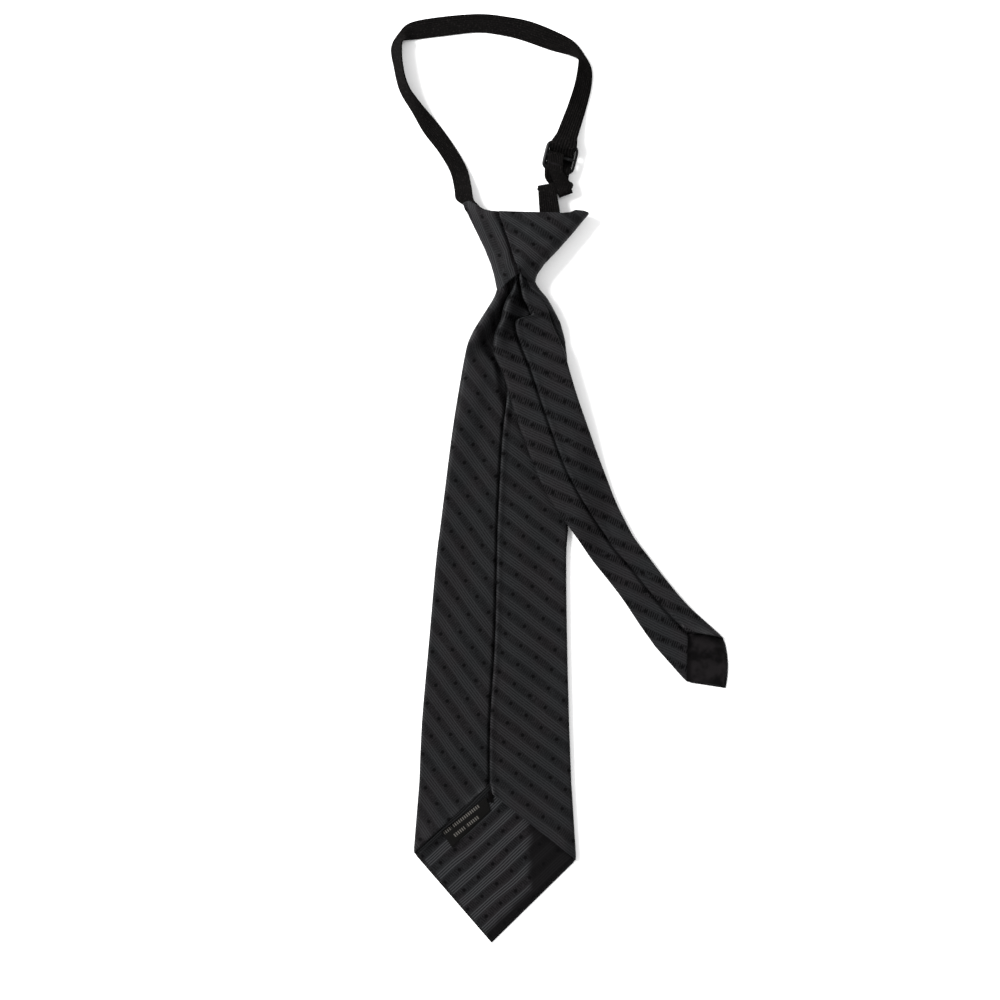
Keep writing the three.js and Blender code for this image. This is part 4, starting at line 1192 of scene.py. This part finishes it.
def knot_sheet():
    """The knot's cloth: the section of knot_points once round and over its own start, from level to level.
    The lapping end rises, the cloth ahead of it sinks in a groove, and each dent goes down by
    depth exp(-((x - its x) / reach across)^2 - ((y - its y) / reach along)^2)."""
    level = np.concatenate([[0, 0.004, 0.010], np.linspace(0.02, 0.98, 70), [0.990, 0.996, 1]])[:, None]
    inside = np.linspace(0.008, 0.992, 260)
    turn = np.concatenate([[0, 0.0015, 0.004], inside, [0.996, 0.9985, 1]])[None, :]
    left, right, _, _, squareness, seam = table_at(KNOT_ROWS, mix(KNOT_TOP, NOTCH["y"], level))
    centre, half_width = (left + right) / 2, (right - left) / 2
    lap = np.minimum(KNOT_LAP, 0.4 * half_width)
    start = knot_angle(seam + lap, centre, half_width, squareness)
    end = 2 * np.pi + knot_angle(seam, centre, half_width, squareness)
    angle = mix(start, end, turn)
    lifted = KNOT_FLAP_RISE * smooth((angle - 2 * np.pi) / (0.3 * np.pi))
    flat_x = centre + half_width * bulge(np.cos(angle), 2 / squareness)
    lifted = lifted - GROOVE_DEPTH * groove(seam - flat_x) * (angle < np.pi)
    back_share = smooth(np.sin(angle) * 1.6 + 0.3)
    edge = np.asarray(KNOT_TOP_EDGE)
    top = np.interp(flat_x, edge[:, 0], edge[:, 1])
    y = mix(top, knot_lower_edge(flat_x, back_share), level)
    thick = CLOTH * rounded(level.shape[0])[:, None] * rounded(turn.shape[1])[None, :]
    thick = thick * (1 + HEM_FULLNESS * smooth((angle - end + KNOT_HEM_TURN) / KNOT_HEM_TURN))
    face = knot_points(y, angle, thick / 2 - CLOTH / 2)
    back = knot_points(y, angle, -thick / 2 - CLOTH / 2)
    on_back = smooth(1.4 * np.sin(angle) - 0.2)
    for x_at, y_at, reach_x, reach_y, depth in KNOT_DENTS:
        away = ((flat_x - x_at) / reach_x) ** 2 + ((y - y_at) / reach_y) ** 2
        lifted = lifted - on_back * depth * np.exp(-away)
    face[..., 2] += lifted
    back[..., 2] += lifted
    run = np.linalg.norm(np.diff((face + back) / 2, axis=1), axis=2)
    length = np.hstack([np.zeros((len(level), 1)), np.cumsum(run, axis=1)])
    from_left = np.stack([-length, y], -1)
    from_right = np.stack([length[:, -1:] - length, y], -1)
    maps = [turned(from_left, KNOT_STRIPES["left"]), turned(from_right, KNOT_STRIPES["right"])]
    regions = (angle.mean(0)[:-1] > 1.5 * np.pi).astype(int)
    return sheet_object("knot_wrap", face, back, maps, regions)


class NECKTIE_OT_knot(bpy.types.Operator):
    """Add the knot's wrapped cloth"""

    bl_idname = "necktie.knot"
    bl_label = "Knot"

    def execute(self, context):
        obj = knot_sheet()
        cloth = cloth_material(context, "charcoal_jacquard")
        finished(obj, cloth, "knot")
        return {"FINISHED"}


def strap_edges(rows):
    """Near and far edge of each row of centre, turn and width."""
    rows = np.asarray(rows, float)
    angle = np.radians(rows[:, 3])
    reach = np.stack([np.cos(angle), np.sin(angle), 0 * angle], -1) * rows[:, 4:5] / 2
    return np.hstack([rows[:, :3] + reach, rows[:, :3] - reach])


def fold_rows(centre, turn, width, direction, from_below):
    """Half a turn of a strap round a bar: out by r sin(a) and up or down by r cos(a)."""
    angle = np.radians(turn)
    swing = np.linspace(0, np.pi, 9)
    out = TURN_RADIUS * np.sin(swing)
    rise = TURN_RADIUS * np.cos(swing) * (-1 if from_below else 1)
    x = centre[0] + np.sin(angle) * direction * out
    y = centre[1] - np.cos(angle) * direction * out
    full = np.ones_like(swing)
    return np.stack([x, y, BAR_HEIGHT + rise, turn * full, width * full], -1).tolist()


class NECKTIE_OT_straps(bpy.types.Operator):
    """Add the elastic neck strap and the short strap with its loop"""

    bl_idname = "necktie.straps"
    bl_label = "Straps"

    def execute(self, context):
        elastic = material_of("black_ribbed_elastic", ribbed_elastic, context.scene.necktie_trim)
        thread = (
            THREAD_IN
            + fold_rows(HOOK_FOLD, HOOK_TURN, HOOK_WIDTH, 1, True)
            + THREAD_BACK
            + fold_rows(SEWN_FOLD, SEWN_TURN, SEWN_WIDTH, -1, False)
            + THREAD_END
        )
        loop = curved_rows(NECK_ROWS, 9)
        edges = np.concatenate([loop, curved_rows(strap_edges(thread), 4)])
        edges[:, [2, 5]] = np.maximum(edges[:, [2, 5]], STRAP / 2)
        neck = ribbon("neck_elastic", edges)
        finished(neck, elastic, "neck_strap")
        short = SHORT_IN + fold_rows(SHORT_FOLD, SHORT_TURN, SHORT_WIDTH, -1, True) + SHORT_OUT
        obj = ribbon("short_elastic", curved_rows(strap_edges(short), 5))
        finished(obj, elastic, "short_strap")
        return {"FINISHED"}


def slide_place(along, side):
    """A place on the slide, turned and moved to where it lies."""
    angle = np.radians(SLIDE_TURN)
    x = SLIDE_CENTRE[0] + np.cos(angle) * side - np.sin(angle) * along
    y = SLIDE_CENTRE[1] + np.sin(angle) * side + np.cos(angle) * along
    return np.stack([x, y, np.full_like(x, BAR_HEIGHT)], -1)


class NECKTIE_OT_hardware(bpy.types.Operator):
    """Add the slide and the hook"""

    bl_idname = "necktie.hardware"
    bl_label = "Hardware"

    def execute(self, context):
        gloss = material_of("black_enamel", black_gloss, context.scene.necktie_trim)
        turn = np.linspace(0, 2 * np.pi, 96, endpoint=False)
        along = BAR_PITCH * bulge(np.sin(turn), SLIDE_CORNER)
        side = SLIDE_HALF_WIDTH * bulge(np.cos(turn), SLIDE_CORNER)
        ring = tube("slide_ring", slide_place(along, side), BAR_RADIUS, closed=True)
        finished(ring, gloss, "slide_adjuster")
        reach = np.linspace(-SLIDE_HALF_WIDTH, SLIDE_HALF_WIDTH, 30)
        middle_bar = tube("slide_middle_bar", slide_place(0 * reach, reach), BAR_RADIUS)
        finished(middle_bar, gloss, "slide_adjuster")
        bends = curved_rows(HOOK_PATH, 12)
        path = np.column_stack([bends, np.full(len(bends), BAR_HEIGHT)])
        finished(tube("hook_wire", path, BAR_RADIUS), gloss, "hook_clasp")
        return {"FINISHED"}


class NECKTIE_OT_threads(bpy.types.Operator):
    """Add the zigzag threads of the bar tack and of the strap's sewn end"""

    bl_idname = "necktie.threads"
    bl_label = "Threads"

    def execute(self, context):
        satin = material_of("black_facing_satin", facing_satin, context.scene.necktie_trim)
        for name, x, y, z, turn, half_length, half_width, passes, node, slot in THREADS:
            along = np.linspace(-half_length, half_length, 2 * passes)
            side = half_width * np.where(np.arange(2 * passes) % 2, 1.0, -1.0)
            angle = np.radians(turn)
            corners = np.stack([
                x + np.cos(angle) * along - np.sin(angle) * side,
                y + np.sin(angle) * along + np.cos(angle) * side,
                np.full_like(along, z),
            ], -1)
            finished(tube(name, curved_rows(corners, 5), THREAD_RADIUS, sides=10), satin, node)
        return {"FINISHED"}


class NECKTIE_OT_stage(bpy.types.Operator):
    """Add the floor, the soft studio lights and the camera"""

    bl_idname = "necktie.stage"
    bl_label = "Stage"

    def execute(self, context):
        studio = context.scene.necktie_studio
        floor = bpy.data.objects.new("floor", bpy.data.meshes.new("floor"))
        corners = [(FLOOR_REACH * x, FLOOR_REACH * y, 0) for x, y in ((-1, -1), (1, -1), (1, 1), (-1, 1))]
        floor.data.from_pydata(corners, [], [(0, 1, 2, 3)])
        paper = Graph("studio_paper")
        paper.set(Base_Color=(*studio.floor, 1.0), Roughness=0.9, Specular_IOR_Level=0.1)
        floor.data.materials.append(paper.material)
        context.scene.collection.objects.link(floor)

        softboxes = [
            # name, place, size, power
            ("key_softbox", (-1.46, 0.75, 1.15), 0.7, studio.key_power),
            ("fill_softbox", (1.0, 0.7, 2.3), 0.9, studio.fill_power),
        ]
        for name, place, size, power in softboxes:
            lamp = bpy.data.lights.new(name, "AREA")
            lamp.size = size
            lamp.energy = power
            obj = bpy.data.objects.new(name, lamp)
            obj.location = place
            obj.rotation_euler = aim(place, (VIEW_CENTRE[0], VIEW_CENTRE[1], 0.0))
            context.scene.collection.objects.link(obj)

        world = bpy.data.worlds.new("studio_room")
        world.use_nodes = True
        background = world.node_tree.nodes["Background"]
        background.inputs["Color"].default_value = (1.0, 1.0, 1.0, 1.0)
        background.inputs["Strength"].default_value = studio.ambient
        context.scene.world = world
        context.scene.view_settings.view_transform = "Standard"

        lens = bpy.data.cameras.new("camera")
        lens.sensor_width = SENSOR_WIDTH
        lens.lens = SENSOR_WIDTH * studio.camera_height / VIEW_WIDTH
        camera = bpy.data.objects.new("camera", lens)
        camera.location = (*VIEW_CENTRE, studio.camera_height)
        context.scene.collection.objects.link(camera)
        context.scene.camera = camera
        return {"FINISHED"}


def aim(place, target):
    """Euler angles that turn a lamp's -Z from its place to the target."""
    return (Vector(target) - Vector(place)).to_track_quat("-Z", "Y").to_euler()


class NECKTIE_PT_pieces(bpy.types.Panel):
    """The necktie's pieces and their settings"""

    bl_label = "Necktie"
    bl_idname = "NECKTIE_PT_pieces"
    bl_space_type = "VIEW_3D"
    bl_region_type = "UI"
    bl_category = "Necktie"

    def draw(self, context):
        for operator in OPERATORS:
            self.layout.operator(operator.bl_idname)
        for name in SETTINGS:
            settings = getattr(context.scene, name)
            box = self.layout.box()
            for key in settings.__annotations__:
                box.prop(settings, key)


SETTINGS = {"necktie_cloth": NecktieCloth, "necktie_trim": NecktieTrim, "necktie_studio": NecktieStudio}
OPERATORS = (
    NECKTIE_OT_stage,
    NECKTIE_OT_wide_blade,
    NECKTIE_OT_tail,
    NECKTIE_OT_knot,
    NECKTIE_OT_straps,
    NECKTIE_OT_hardware,
    NECKTIE_OT_threads,
)


def register():
    for cls in (*SETTINGS.values(), *OPERATORS, NECKTIE_PT_pieces):
        bpy.utils.register_class(cls)
    for name, cls in SETTINGS.items():
        setattr(bpy.types.Scene, name, bpy.props.PointerProperty(type=cls))


def unregister():
    for name in SETTINGS:
        delattr(bpy.types.Scene, name)
    for cls in (NECKTIE_PT_pieces, *reversed(OPERATORS), *reversed(SETTINGS.values())):
        bpy.utils.unregister_class(cls)


def main():
    register()
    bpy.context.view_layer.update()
    bpy.ops.necktie.stage()
    bpy.ops.necktie.wide_blade()
    bpy.ops.necktie.tail()
    bpy.ops.necktie.knot()
    bpy.ops.necktie.straps()
    bpy.ops.necktie.hardware()
    bpy.ops.necktie.threads()


if __name__ == "__main__":
    main()
